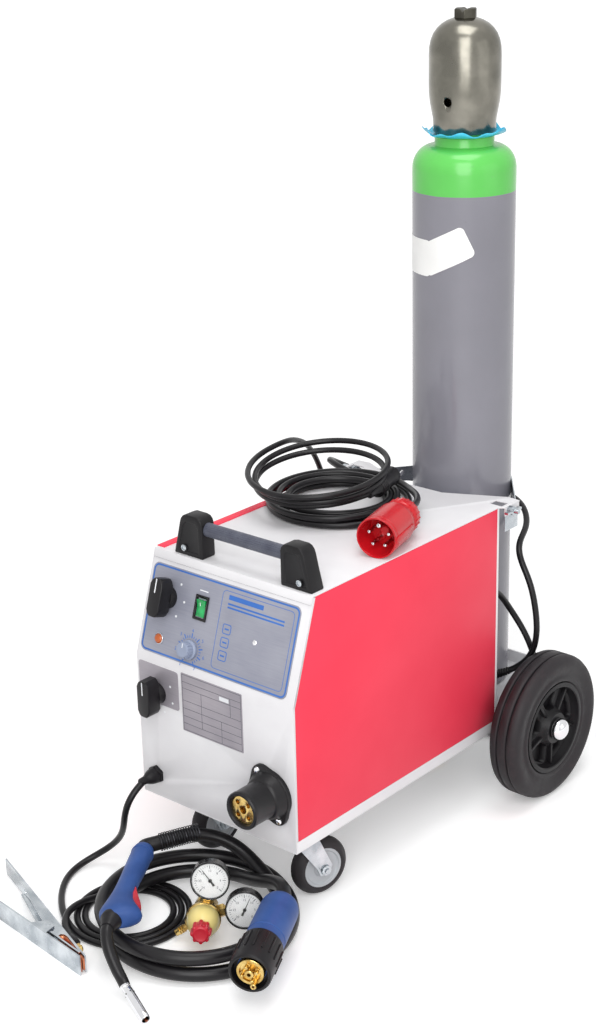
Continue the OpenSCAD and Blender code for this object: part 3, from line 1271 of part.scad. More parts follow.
// The same loops leaning on what lies under their left side
function leaning(p) = [for (q = p) [q[0], q[1],
  q[2] + torch_lean * min(1, max(0, (175 - q[0]) / 187))]];
function tilted(p, slope, y0, climb) = let (n = len(p) - 1)
  [for (i = [0 : n]) [p[i][0], p[i][1], p[i][2] + slope * (p[i][1] - y0) + climb * i / n]];
// Wire curled round the line from a to b
function curl_line(a, b, r, curls) = let (t = unit(b - a), s = start_side(t), u = cross(t, s),
  n = 8 * curls) [for (i = [0 : n]) let (q = 360 * i / 8)
  a + (b - a) * (i / n) + r * (cos(q) * s + sin(q) * u)];

module mains_coil() { color([0.1, 0.1, 0.1]) sweep(mains_pile, mains_d / 2, 6); }
module mains_lead() {
  cord(mains_route, mains_d, 3);
  cord(mains_tail, mains_d, 3);
}
module aux_coil() { color([0.1, 0.1, 0.1]) sweep(aux_pile, aux_d / 2, 6); }
module aux_lead() {
  cord(aux_tail, aux_d, 3);
  cord(aux_route, aux_d, 3);
}
module gas_coil() { color([0.1, 0.1, 0.1]) sweep(gas_pile, gas_d / 2, 6); }
module gas_hose() {
  cord(gas_route, gas_d, 3);
  cord(gas_tail, gas_d, 3);
}
// Ferrule, six-sided nut and nipple at the end of the gas hose
module gas_nut() {
  n = norm(gas_nut_b - gas_nut_a);
  color([0.8, 0.65, 0.3]) aim(gas_nut_a, gas_nut_b) {
    cylinder(r = gas_d / 2 + 1.7, h = 9);
    rotate([0, 0, 30]) translate([0, 0, 8]) cylinder(r = 9, h = 11, $fn = 6);
    cylinder(r1 = gas_d / 2 + 1.7, r2 = 3.2, h = n);
  }
}
module torch_coil() { color([0.1, 0.1, 0.1]) sweep(torch_pile, torch_d / 2, 6); }
module torch_lead() {
  cord(torch_route, torch_d, 3, 10);
  cord(plug_route, torch_d, 3, 10);
}
module earth_coil() { color([0.1, 0.1, 0.1]) sweep(earth_pile, earth_d / 2, 6); }
module earth_lead() {
  cord(earth_route, earth_d, 3);
  cord(earth_tail, earth_d, 3);
}
// Five-pole plug: shroud, body, rear collar and pins
module cee_plug() {
  n = norm(cee_b - cee_a);
  color("red") aim(cee_a, cee_b) {
    difference() {
      rotate_extrude() polygon([[0, 0], [10, 0], [13, 16], [23, 20], [23.5, 34], [21.5, 36],
        [21.5, 44], [cee_r, 50], [cee_r, n], [cee_r - 2.5, n], [cee_r - 2.5, n - 40],
        [0, n - 40]]);
    }
    translate([-4, cee_r - 1, 52]) cube([8, 3, n - 52]);
    for (a = [36 : 72 : 324]) rotate([0, 0, a]) translate([14, 0, n - 41])
      cylinder(r = a == 180 ? 3.4 : 2.7, h = 33);
  }
}
module schuko_plug() {
  n = norm(schuko_b - schuko_a);
  color([0.1, 0.1, 0.1]) aim(schuko_a, schuko_b) {
    rotate_extrude() polygon([[0, 0], [6, 0], [8, 10], [schuko_r - 2, 16],
      [schuko_r - 2, n - 10], [schuko_r, n - 8], [schuko_r, n], [0, n]]);
    for (s = [-1, 1]) translate([0, 9.5 * s, n]) cylinder(r = 2.4, h = 19);
  }
}

place() base_pan();
place() front_panel();
place() rear_panel();
place() lid();
place() side_cover_left();
place() side_cover_right();
place() rear_shelf();
place() rear_axle();
place() gas_cylinder();
place() cylinder_valve();
place() cylinder_cap();
place() cap_washer();
place() cylinder_strap();
place() handle_brackets();
place() handle_grip();
place() front_plates();
place() front_fittings();
place() upper_knob();
place() lower_knob();
place() pot_knob();
place() rocker();
place() euro_socket();
place() euro_core();
place() rear_fittings();
place() electrics();
place() fan_blades();
place() feed_motor();
place() drive_roll();
place() pressure_arm();
place() wire_spool();
place() rear_wheel_left();
place() rear_wheel_right();
place() caster_fork_left();
place() caster_fork_right();
place() caster_wheel_left();
place() caster_wheel_right();
place() torch_handle();
place() torch_trigger();
place() torch_neck();
place() plug_sleeve();
place() plug_collar();
place() regulator_body();
place() regulator_knob();
place() gauges();
place() needle_high();
place() needle_low();
place() clamp_lower();
place() clamp_upper();
place() mains_coil();
place() mains_lead();
place() cee_plug();
place() aux_coil();
place() aux_lead();
place() schuko_plug();
place() gas_hose();
place() gas_coil();
place() gas_nut();
place() torch_coil();
place() torch_lead();
place() earth_lead();
place() earth_coil();
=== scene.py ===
# %% [markdown]
# # A gas-shielded welding machine on wheels
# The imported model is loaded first. It is a fixed frame: it says where every piece is and what moves
# with what. Its solids stay where they are, and what is made below dresses or replaces them.

# %% Load the frame
import json
import math

import bpy
from mathutils import Matrix, Vector

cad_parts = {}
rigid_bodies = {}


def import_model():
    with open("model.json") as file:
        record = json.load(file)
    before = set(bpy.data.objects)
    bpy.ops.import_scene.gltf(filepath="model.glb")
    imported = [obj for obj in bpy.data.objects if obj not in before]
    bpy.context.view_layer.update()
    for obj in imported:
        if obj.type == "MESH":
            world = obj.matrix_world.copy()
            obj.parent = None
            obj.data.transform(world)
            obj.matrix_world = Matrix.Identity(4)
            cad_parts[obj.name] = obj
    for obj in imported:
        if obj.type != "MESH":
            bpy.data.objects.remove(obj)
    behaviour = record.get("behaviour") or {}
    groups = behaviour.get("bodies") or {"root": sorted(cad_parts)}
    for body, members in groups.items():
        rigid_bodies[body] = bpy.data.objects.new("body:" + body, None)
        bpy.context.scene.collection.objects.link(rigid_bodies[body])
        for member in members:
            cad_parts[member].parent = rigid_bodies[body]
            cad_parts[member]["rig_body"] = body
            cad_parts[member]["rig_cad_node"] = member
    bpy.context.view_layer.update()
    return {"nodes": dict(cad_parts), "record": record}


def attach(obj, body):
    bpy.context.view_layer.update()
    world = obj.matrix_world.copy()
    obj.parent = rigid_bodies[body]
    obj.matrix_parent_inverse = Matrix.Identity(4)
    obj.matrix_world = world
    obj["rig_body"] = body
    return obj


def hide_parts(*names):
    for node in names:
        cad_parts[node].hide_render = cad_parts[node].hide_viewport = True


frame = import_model()

# %% [markdown]
# The machine was measured in millimetres from the middle of its front panel at floor level. One
# helper turns such a place into metres in the frame, so that a number in this script can be read on
# the machine.

# %% From machine millimetres to the frame
ORIGIN = Vector((-18.29116, 169.02799, 0.0))


def at(x, y, z):
    return (Vector((x, y, z)) - ORIGIN) / 1000


def turned(angle, axis="Z"):
    return Matrix.Rotation(math.radians(angle), 4, axis)


FLAT = Matrix.Identity(4)
HERE = ((0, 0, 0), FLAT)
print("front panel foot:", tuple(at(0, 0, 105)))

# %% [markdown]
# The camera stands high at the front right corner, so that front, right side and lid show together.
# Its place and turn come from the lines of the cabinet; the lens is long, so the lines hardly
# converge.

# %% Camera
camera_data = bpy.data.cameras.new("camera")
camera = bpy.data.objects.new("camera", camera_data)
bpy.context.scene.collection.objects.link(camera)
right = Vector((0.75664, 0.65341, -0.02358)).normalized()
forward = Vector((-0.61875, 0.70392, -0.34877)).normalized()
above = right.cross(forward)
turn = Matrix((right, above, -forward)).transposed().to_4x4()
camera.matrix_world = Matrix.Translation(at(1438.68, -1466.23, 1288.78)) @ turn
camera_data.sensor_width = 36
camera_data.lens = 1818 / 1024 * 36
camera_data.clip_end = 50
bpy.context.scene.camera = camera
print("lens:", round(camera_data.lens, 2))

# %% [markdown]
# A finish is a few nodes. One helper adds a node, sets it and links it; one turns the hex value of
# a colour, as a paint chart gives it, into the linear numbers that Blender counts with. Most
# finishes are alike in build: two near colours and two degrees of gloss in soft patches, over a
# fine grain.

# %% Helpers for materials


def hexa(value):
    parts = [int(value[i:i + 2], 16) / 255 for i in (1, 3, 5)]
    return tuple(c / 12.92 if c <= 0.04045 else ((c + 0.055) / 1.055) ** 2.4
                 for c in parts) + (1.0,)


def add(tree, kind, inputs=None, **settings):
    made = tree.nodes.new(kind)
    for key, value in settings.items():
        setattr(made, key, value)
    for key, value in (inputs or {}).items():
        if isinstance(value, bpy.types.NodeSocket):
            tree.links.new(value, made.inputs[key])
        else:
            made.inputs[key].default_value = value
    return made


def new_finish(name, **values):
    made = bpy.data.materials.new(name)
    made.use_nodes = True
    surface = made.node_tree.nodes["Principled BSDF"]
    for key, value in values.items():
        surface.inputs[key.replace("_", " ")].default_value = value
    place = add(made.node_tree, "ShaderNodeTexCoord").outputs["Object"]
    return made, made.node_tree, surface, place


def ramp(tree, factor, stops):
    made = add(tree, "ShaderNodeValToRGB", {"Fac": factor})
    while len(made.color_ramp.elements) < len(stops):
        made.color_ramp.elements.new(0.5)
    for element, (where, value) in zip(made.color_ramp.elements, stops):
        element.position = where
        element.color = hexa(value) if isinstance(value, str) else (value, value, value, 1)
    return made.outputs["Color"]


def noise(tree, place, scale, detail=3.0, rough=0.5):
    made = add(tree, "ShaderNodeTexNoise", {"Vector": place, "Scale": scale, "Detail": detail,
                                            "Roughness": rough})
    return made.outputs["Fac"]


def dent(tree, surface, height, strength, distance):
    made = add(tree, "ShaderNodeBump", {"Height": height, "Strength": strength,
                                        "Distance": distance})
    tree.links.new(made.outputs["Normal"], surface.inputs["Normal"])


FINISH = {}


def patchy(name, colour, shade, rough, spread, patch, grain, depth, height=0.0001,
           edges=(0.35, 0.65), **values):
    made, tree, surface, place = new_finish(name, **values)
    cloud = noise(tree, place, patch, 4.0)
    tree.links.new(ramp(tree, cloud, [(edges[0], shade), (edges[1], colour)]),
                   surface.inputs["Base Color"])
    tree.links.new(ramp(tree, cloud, [(0.3, rough + spread), (0.7, rough)]),
                   surface.inputs["Roughness"])
    dent(tree, surface, noise(tree, place, grain, 2.0), depth, height)
    FINISH[name] = made


print("helpers ready")

# %% [markdown]
# ## Enamel on sheet steel
# The cabinet is folded sheet, powder coated and baked. Powder flows out with a fine orange peel, a
# wave about a millimetre long, which only breaks up the gloss. Hands and dust dull it in broad soft
# patches.

# %% Powder coat


def powder_coat(name, colour, shade, rough, dust, gloss=0.45):
    patchy(name, colour, shade, rough, dust, 9.0, 900.0, 0.25, edges=(0.3, 0.62), IOR=1.5,
           Specular_IOR_Level=gloss)


powder_coat("white_powder_coat", "#e9e8ea", "#dedcdf", 0.34, 0.12)
powder_coat("red_powder_coat", "#f53f57", "#f03a52", 0.42, 0.08, 0.3)
powder_coat("shelf_powder_coat", "#d9d9db", "#cfcfd2", 0.42, 0.1)
powder_coat("machine_grey", "#6d7176", "#5f6368", 0.5, 0.1)
print("powder coats:", sorted(FINISH))

# %% [markdown]
# ## Paint on the gas cylinder
# A cylinder is brushed or sprayed by hand: grey body and a bright shoulder, with a hard line
# between. The paint is glossy, with long shallow waves, and scuffed where cylinders rub against
# each other.

# %% Cylinder paint
made, tree, surface, place = new_finish("cylinder_paint", IOR=1.5, Specular_IOR_Level=0.5)
height = add(tree, "ShaderNodeSeparateXYZ", {"Vector": place}).outputs["Z"]
wobble = add(tree, "ShaderNodeMath", {0: noise(tree, place, 14.0, 3.0), 1: 0.003, 2: -0.0015},
             operation="MULTIPLY_ADD").outputs[0]
line = add(tree, "ShaderNodeMath", {0: height, 1: wobble}, operation="ADD").outputs[0]
paint_line = 0.838
band = add(tree, "ShaderNodeMath", {0: line, 1: paint_line}, operation="GREATER_THAN").outputs[0]
patches = noise(tree, place, 7.0, 5.0)
grey = ramp(tree, patches, [(0.3, "#7f7e86"), (0.7, "#888790")])
green = ramp(tree, patches, [(0.3, "#58bd50"), (0.7, "#64cb5c")])
both = add(tree, "ShaderNodeMix", {"Factor": band, 6: grey, 7: green}, data_type="RGBA")
scuff_place = add(tree, "ShaderNodeMapping",
                  {"Vector": place, "Scale": (1, 1, 3.5)}).outputs["Vector"]
scuff = ramp(tree, noise(tree, scuff_place, 70.0, 6.0, 0.7), [(0.66, 0.0), (0.74, 1.0)])
worn = add(tree, "ShaderNodeMix", {"Factor": scuff, 6: both.outputs[2], 7: hexa("#77767b")},
           data_type="RGBA")
tree.links.new(worn.outputs[2], surface.inputs["Base Color"])
tree.links.new(ramp(tree, patches, [(0.3, 0.26), (0.7, 0.16)]), surface.inputs["Roughness"])
dent(tree, surface, noise(tree, place, 30.0, 2.0), 0.12, 0.002)
FINISH["cylinder_paint"] = made
print("cylinder paint ready")

# %% [markdown]
# ## Metals
# Zinc plate is pale and a little cloudy; chrome is a mirror; the cap is blasted steel under thin
# aluminium paint. Brass and copper are turned, so fine rings run round them, too fine to show here:
# what shows is a soft, uneven gloss. A metal's colour is its reflection, so it stays simple.

# %% Metals


def metal(name, colour, shade, rough, spread, patch, depth=0.2):
    patchy(name, colour, shade, rough, spread, patch, 1400.0, depth, 0.00006, Metallic=1.0)


metal("zinc_plate", "#cdd2d6", "#a3aab0", 0.16, 0.16, 34.0)
metal("bright_chrome", "#e6e6e8", "#dddde0", 0.06, 0.06, 40.0, 0.05)
metal("cap_steel", "#848178", "#6c6a62", 0.2, 0.08, 25.0, 0.35)
metal("key_iron", "#5a5850", "#45433d", 0.4, 0.1, 60.0, 0.4)
metal("black_wire", "#4a4a4e", "#38383b", 0.34, 0.1, 80.0)
metal("turned_brass", "#dcc07c", "#bb9a58", 0.18, 0.14, 90.0)
metal("copper", "#c9805c", "#a8644a", 0.3, 0.15, 90.0)
metal("aluminium", "#cfd2d6", "#bcc0c4", 0.3, 0.1, 80.0)
metal("spring_steel", "#8d8f94", "#6b6d72", 0.3, 0.1, 80.0)
metal("winding_copper", "#b06a3e", "#7d4526", 0.38, 0.1, 400.0)
print("metals ready")

# %% [markdown]
# ## Plastics and rubber
# Moulded ABS and nylon carry the fine grain of the mould. PVC cable jacket is smoother and shines
# in a line along its length. Tyre rubber is matt, and floor dust lies on it in pale brown smears.

# %% Plastics and rubber


def moulded(name, colour, shade, rough, grain=1100.0, depth=0.3, patch=20.0, gloss=0.4):
    patchy(name, colour, shade, rough, 0.1, patch, grain, depth, IOR=1.49, Specular_IOR_Level=gloss)


moulded("black_nylon", "#1a181b", "#121113", 0.36, gloss=0.25)
moulded("black_abs", "#1b191c", "#131214", 0.3, gloss=0.3)
moulded("gloss_black", "#141315", "#0e0d0f", 0.16, depth=0.1)
moulded("black_pvc", "#19171a", "#111012", 0.28, 500.0, 0.25, 45.0, 0.3)
moulded("grip_blue_grey", "#5d606d", "#4d505e", 0.26, patch=60.0)
moulded("torch_blue", "#335493", "#2a4985", 0.42, patch=30.0, gloss=0.3)
moulded("plug_red", "#cc1822", "#b9131e", 0.2, depth=0.1)
moulded("knob_red", "#cf2436", "#b01b2c", 0.26, depth=0.1)
moulded("knob_grey", "#98a1b6", "#8790a6", 0.34)
moulded("fan_plastic", "#3b3c40", "#2e2f33", 0.4)
moulded("coil_former", "#5b4532", "#463424", 0.5)
moulded("laminate_iron", "#55575c", "#43454a", 0.5, 300.0, 0.5)
moulded("spool_plastic", "#2c2c2f", "#202023", 0.34)
moulded("dial_white", "#f2f3f2", "#e9eae9", 0.4, depth=0.05)
moulded("print_blue", "#3f74c4", "#3566b4", 0.35, depth=0.05)
moulded("print_white", "#f4f5f7", "#e8eaee", 0.35, depth=0.05)
moulded("print_dark", "#4b4d57", "#42444e", 0.4, depth=0.05)
moulded("needle_black", "#0d0d0e", "#080809", 0.3, depth=0.05)
moulded("label_film", "#fbfbf9", "#f2f2f0", 0.3, depth=0.05)
moulded("amber_lens", "#d0703a", "#b35426", 0.14, depth=0.05)
moulded("bonnet_lacquer", "#e8d58a", "#d9c374", 0.22, depth=0.05)
moulded("caster_hub", "#b9bcc0", "#a9acb1", 0.4)
moulded("washer_film", "#4fd0f0", "#35b8e4", 0.18, 500.0, 0.4, 40.0)

made, tree, surface, place = new_finish("tyre_rubber", IOR=1.5, Specular_IOR_Level=0.35)
dust = noise(tree, place, 22.0, 6.0, 0.65)
tree.links.new(ramp(tree, dust, [(0.4, "#1f1c1f"), (0.58, "#272326"), (0.8, "#41393b")]),
               surface.inputs["Base Color"])
tree.links.new(ramp(tree, dust, [(0.4, 0.5), (0.7, 0.8)]), surface.inputs["Roughness"])
dent(tree, surface, noise(tree, place, 700.0, 3.0), 0.4, 0.0002)
FINISH["tyre_rubber"] = made

made, tree, surface, place = new_finish("green_lens", IOR=1.49, Emission_Strength=0.25)
glow = ramp(tree, noise(tree, place, 90.0), [(0.3, "#0d7a3c"), (0.7, "#27a85c")])
tree.links.new(glow, surface.inputs["Base Color"])
tree.links.new(glow, surface.inputs["Emission Color"])
tree.links.new(ramp(tree, noise(tree, place, 60.0), [(0.3, 0.2), (0.7, 0.1)]),
               surface.inputs["Roughness"])
FINISH["green_lens"] = made

made, tree, surface, place = new_finish("gauge_glass", IOR=1.49, Transmission_Weight=1.0,
                                        Alpha=0.25)
tree.links.new(ramp(tree, noise(tree, place, 50.0), [(0.3, 0.03), (0.7, 0.0)]),
               surface.inputs["Roughness"])
FINISH["gauge_glass"] = made
print("finishes:", len(FINISH))

# %% [markdown]
# The control sheet is a printed film with a faint metallic shimmer, fine enough to read as even
# grey, a little bluer where the light grazes it. Brushing runs across it, so the noise is stretched
# along X.

# %% Control film


def brushed_film(name, colour, shade, metallic, rough):
    made, tree, surface, place = new_finish(name, Metallic=metallic, IOR=1.5)
    long = add(tree, "ShaderNodeMapping",
               {"Vector": place, "Scale": (30, 900, 900)}).outputs["Vector"]
    lines = noise(tree, long, 1.0, 3.0)
    cloud = noise(tree, place, 12.0, 3.0)
    mix = add(tree, "ShaderNodeMath", {0: lines, 1: 0.35, 2: cloud},
              operation="MULTIPLY_ADD").outputs[0]
    tree.links.new(ramp(tree, mix, [(0.5, shade), (0.85, colour)]), surface.inputs["Base Color"])
    tree.links.new(ramp(tree, mix, [(0.5, rough + 0.08), (0.85, rough)]),
                   surface.inputs["Roughness"])
    dent(tree, surface, lines, 0.1, 0.0001)
    FINISH[name] = made


brushed_film("control_film", "#9fa0ac", "#8d8f9d", 0.15, 0.4)
brushed_film("rating_film", "#a9a3aa", "#97929a", 0.3, 0.42)
print("films ready")

# %% [markdown]
# ## Cords
# Five cords leave the machine. Each is one length of something flexible, so each is one smooth
# curve through points that follow its way, with a round section. First come the helpers: a smooth
# line through points, a coil whose radius runs out and back as it changes layer, and the piece
# itself.

# %% Helpers for cords


def between(a, b, c, d, t):
    return 0.5 * (2 * b + (c - a) * t + (2 * a - 5 * b + 4 * c - d) * t * t
                  + (3 * b - a - 3 * c + d) * t ** 3)


def smooth_line(points, steps):
    p = [Vector(q) for q in points]
    last = len(p) - 1
    line = [between(p[max(i - 1, 0)], p[i], p[i + 1], p[min(i + 2, last)], k / steps)
            for i in range(last) for k in range(steps)]
    return line + [p[last]]


def coil(centre, turns, start, way, r0, r1, step, layers, sway=0.0, per_turn=64):
    steps = round(per_turn * turns)
    points = []
    for i in range(steps + 1):
        t = turns * i / steps
        angle = math.radians(start + way * 360 * t)
        part = t / turns if layers == 1 else 1 - abs(2 * t / turns - 1)
        r = r0 + (r1 - r0) * part
        rise = 0 if layers == 1 else step * min(1, max(0, (t - turns / 2 + 0.25) / 0.5))
        fade = min(1, t * 3, (turns - t) * 3)
        r += sway * fade * math.sin(2 * angle + 2.3 * t)
        points.append(Vector((centre[0] + r * math.cos(angle), centre[1] + r * math.sin(angle),
                              centre[2] + rise)))
    return points


def length_of(points):
    return sum((b - a).length for a, b in zip(points, points[1:]))


def evenly(points, step):
    out, run, want = [Vector(points[0])], 0.0, step
    for a, b in zip(points, points[1:]):
        piece = (b - a).length
        while piece > 0 and run + piece >= want:
            out.append(a.lerp(b, (want - run) / piece))
            want += step
        run += piece
    if (out[-1] - points[-1]).length > step * 0.4:
        out.append(Vector(points[-1]))
    else:
        out[-1] = Vector(points[-1])
    return out


def one_line(way, turns, tail=None, rounds=12):
    joined = smooth_line(way, 8)[:-2] + turns[1:-1 if tail else None]
    line = evenly(joined + (smooth_line(tail, 8)[2:] if tail else []), 4.0)
    for _ in range(rounds):
        line[2:-2] = [(a + 2 * b + c) / 4 for a, b, c in zip(line[1:], line[2:-2], line[3:])]
    return line


def round_line(name, points, diameter, sides, sizes=None):
    data = bpy.data.curves.new(name, "CURVE")
    data.dimensions = "3D"
    data.bevel_depth = diameter / 2000
    data.bevel_resolution = sides
    data.use_fill_caps = True
    line = data.splines.new("POLY")
    line.points.add(len(points) - 1)
    line.points.foreach_set("co", [c for p in points for c in (*at(*p), 1.0)])
    line.points.foreach_set("radius", sizes or [1.0] * len(points))
    line.use_smooth = True
    made = bpy.data.objects.new(name, data)
    bpy.context.scene.collection.objects.link(made)
    return made


def cord_piece(name, points, diameter, *solids, sides=3):
    made = round_line(name, points, diameter, sides)
    made.data.materials.append(FINISH["black_pvc"])
    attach(made, "machine")
    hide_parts(*solids)
    length = length_of([at(*p) for p in points])
    print(name, "is", round(length, 3), "m long")
    return made, length


# %% [markdown]
# The mains lead leaves a gland low on the back, climbs behind the cylinder and lies on the lid in a
# loose coil, with its red five-pole plug on top. It is stiff rubber cable, 9 mm thick.

# %% Mains lead
mains_coil = coil((-45, 300, 444.5), 1840 / 360, 100, -1, 100, 62, 9.7, 2, sway=3.0)
mains_way = [(90, 448.3, 160), (90.5, 464.9, 160), (96.6, 480.6, 160.6), (107.8, 492.5, 164.3),
             (120.6, 499.7, 172.6), (132.2, 502.5, 184.4), (141.2, 502.9, 198.8),
             (146.5, 502.7, 214.8), (148.9, 502.1, 231.6), (149.2, 501.1, 248.5),
             (147.6, 500.2, 265.3), (144.3, 500.2, 281.9), (139.2, 500.9, 298.1),
             (131.9, 501.8, 313.3), (122.4, 503.4, 327.2), (112.2, 508.8, 339.5),
             (103.8, 520, 348.8), (98.3, 534.9, 354.5), (93.2, 550.5, 358.6), (86.1, 565.2, 363.1),
             (76.7, 578.4, 368), (65.1, 589.9, 372.7), (51.5, 599.2, 376.5), (36.2, 605.8, 379.4),
             (20, 610, 381.7), (3.3, 611.8, 383.6), (-13.6, 611.1, 385.4), (-30.1, 607.9, 386.9),
             (-46, 602.1, 388.3), (-60.4, 593.3, 389.7), (-72.9, 582, 391), (-84.2, 569.4, 392.5),
             (-95.3, 556.8, 394.2), (-106.6, 544.3, 396.4), (-117.8, 531.9, 399.1),
             (-128.7, 519.3, 402.2), (-139.1, 506.4, 405.9), (-148.7, 493.3, 410.6),
             (-156.9, 479.9, 416.7), (-163.3, 466.1, 424.4), (-166.6, 451.9, 432.9),
             (-165.7, 437.2, 441.1), (-159.5, 423, 447.8), (-147.7, 411.5, 451),
             (-132.4, 404.4, 450.7), (-116, 401, 448.7), (-99.3, 399.1, 446.5), (-82.5, 397.2, 445),
             mains_coil[0]]
mains_tail = [mains_coil[-1], (21.4, 376.5, 455.1), (33.7, 366.5, 457.5), (45.6, 356.1, 460.2),
              (57.1, 345.2, 462.4), (67.9, 333.4, 464.1), (76.9, 320.3, 465.3),
              (83.4, 305.7, 465.8), (87.9, 290.3, 465.8)]
mains_line = one_line(mains_way, mains_coil, mains_tail)
mains_lead, mains_length = cord_piece("mains_cable", mains_line, 9, "mains_coil", "mains_lead")

# %% [markdown]
# A second lead, with a two-pin plug, serves a wire feeder or heater; it lies in the same heap, its
# turns leaning on the first coil, and leaves over the left edge of the lid.

# %% Second lead
aux_coil = [Vector((p.x, p.y, p.z + 0.12 * (p.y - 185) + 22.6 * i / 160)) for i, p in
            enumerate(coil((-60, 285, 464), 905 / 360, -5, -1, 84, 98, 0, 1, sway=3.0))]
aux_way = [aux_coil[-1], (-155.7, 322.2, 501.9), (-160.4, 338.5, 499.1), (-165.4, 354.2, 494.5),
           (-169.6, 369.8, 488.6), (-174.3, 384.6, 481.3), (-179.6, 398.3, 472.4),
           (-184.4, 411.1, 462), (-187.8, 422.7, 449.8), (-189.9, 432.6, 435.9),
           (-190.9, 440.3, 420.6), (-191, 446.3, 404.6), (-189.9, 451.3, 388.2),
           (-187.5, 455.8, 371.8), (-183.9, 459.9, 355.5), (-179.5, 463.4, 339.3),
           (-174.3, 466.6, 323.2), (-168, 469.5, 307.5), (-160.5, 472.1, 292.2),
           (-152.2, 474.7, 277.4), (-143.2, 477.4, 263), (-134.1, 480.8, 248.9),
           (-124.8, 485.3, 235.1), (-115.2, 486.1, 221.2), (-106.2, 479.1, 208.6),
           (-100.6, 465.1, 200.9), (-100, 448.3, 200)]
aux_tail = [(22.1, 295.7, 473), (23.36, 290.87, 473.75), (23.99, 285.93, 475.05), aux_coil[0]]
aux_line = one_line(aux_tail, aux_coil, aux_way, 30)
aux_line.reverse()
aux_lead, aux_length = cord_piece("aux_cable", aux_line, 8, "aux_coil", "aux_lead")

# %% [markdown]
# The gas hose hangs from its inlet behind the right side, passes inside the wheel, and its spare
# length is wound on the floor under the cylinder's shelf. A nut and a nipple end it.

# %% Gas hose
gas_coil = coil((-52, 500, 4.5), 3.5, 100, 1, 62, 42, 9.7, 2)
gas_way = [(100, 440.3, 300), (100, 456.9, 299.2), (100.4, 472.2, 292.4), (100.9, 484.4, 280.7),
           (102.5, 494.3, 267.1), (107, 502, 252.7), (114.9, 506.6, 238.4), (124, 508.4, 224.3),
           (131.8, 509.8, 209.3), (136.4, 512.8, 193.3), (138, 517.6, 177.2), (138, 523.5, 161.3),
           (137.1, 530, 145.6), (135.5, 537, 130.3), (133.2, 544.6, 115.3), (130.2, 552.6, 100.7),
           (126, 560.5, 86.3), (120, 567.8, 72.2), (112.2, 574, 58.6), (102.5, 578.4, 45.4),
           (90.9, 579.7, 33.2), (77.8, 579, 22.8), (63.8, 577, 14.9), (49, 574.5, 9.3),
           (33.4, 572.3, 6.1), (17.2, 570.6, 4.8), (1, 569.4, 4.6), (-15, 568.3, 4.6),
           (-31, 566.4, 4.6), (-46, 563.9, 4.6), gas_coil[0]]
gas_tail = [gas_coil[-1], (-28, 441.4, 13.2), (-19, 443, 10.4), (-12, 444.3, 8.3), (-9, 444.9, 8),
            (-5, 445.6, 8)]
gas_line = one_line(gas_way, gas_coil, gas_tail)
gas_hose, gas_length = cord_piece("gas_tube", gas_line, 9, "gas_hose", "gas_coil")

# %% [markdown]
# The torch hose carries wire, gas and current, and is as thick as a thumb. It lies before the
# machine in two turns; the torch lies on them at one end and its plug at the other.

# %% Torch hose


def lean(p):
    return Vector((p.x, p.y, p.z + 9.5 * min(1, max(0, (175 - p.x) / 187))))


torch_coil = [lean(p) for p in coil((34, -82, 28), 668 / 360, 68, -1, 108, 127, -19, 2)]
torch_way = [(-39.7, -17.4, 78), (-29.6, -0.6, 77.2), (-16, 13.7, 72.3), (-0.5, 23.9, 64.1),
             (16.1, 29.2, 53.8), (33.6, 29.5, 43.6), (52.1, 25.7, 36.1), torch_coil[0]]
plug_way = [torch_coil[-1], (1.1, 20, 19.2), (20.1, 19.7, 22), (37.7, 13.5, 26.7),
            (53.8, 5.7, 34.1), (70.7, 2, 42.8), (88.4, 1.3, 50.6), (106.3, -2.6, 56.7),
            (123, -11.3, 61), (136.6, -24.8, 63.2), (145.9, -41.7, 63)]
torch_line = one_line(torch_way, torch_coil, plug_way, 64)
torch_hose, torch_length = cord_piece("torch_hose", torch_line, 18, "torch_coil", "torch_lead",
                                      sides=5)

# %% [markdown]
# The earth cable comes out of a gland low on the front, drops to the floor, winds flat beside the
# torch hose and ends in the clamp.

# %% Earth cable
earth_coil = coil((-52, -112, 4.5), 2.75, 240, 1, 82.5, 55.8, 0, 1)
earth_way = [(-108, -20.3, 137), (-108.2, -36.8, 136), (-109.9, -50.5, 126.7),
             (-112.9, -57.4, 111.7), (-116.7, -57.1, 95.4), (-121.7, -51.2, 80.4),
             (-128.6, -45, 66.3), (-137.2, -40.7, 52.4), (-147.7, -38.8, 39.3),
             (-159.6, -40.3, 27.4), (-172, -45.7, 17.4), (-182.9, -56.3, 10.1), (-189.2, -71.3, 6),
             (-188.8, -88, 4.6), (-182.8, -103.7, 4.6), (-173.6, -117.9, 4.7), (-163, -131.1, 4.7),
             (-151.5, -143.5, 4.6), (-139.1, -155, 4.5), (-125.6, -165.1, 4.5), (-111, -173.8, 4.5),
             earth_coil[0]]
CLAMP_TIP = Vector((-2, -236, 0))
CLAMP = turned(160.5)
turn_cos, turn_sin = math.cos(math.radians(160.5)), math.sin(math.radians(160.5))


def clamp_at(x, y, z):
    return (CLAMP_TIP.x + x * turn_cos - y * turn_sin, CLAMP_TIP.y + x * turn_sin + y * turn_cos, z)


earth_tail = [earth_coil[-1], (-107.2, -103.2, 4.9), (-106.1, -120, 8.2), (-107.5, -136, 14.1),
              (-110.9, -152.7, 16.4), (-110.6, -169.7, 15.3), (-103.3, -185, 13.2),
              (-90.3, -196.1, 12.3), (-74.8, -203.3, 13.4), clamp_at(62.3, -6.5, 14)]
earth_line = one_line(earth_way, earth_coil, earth_tail, 75)
earth_cable, earth_length = cord_piece("earth_cable", earth_line, 9, "earth_lead", "earth_coil")

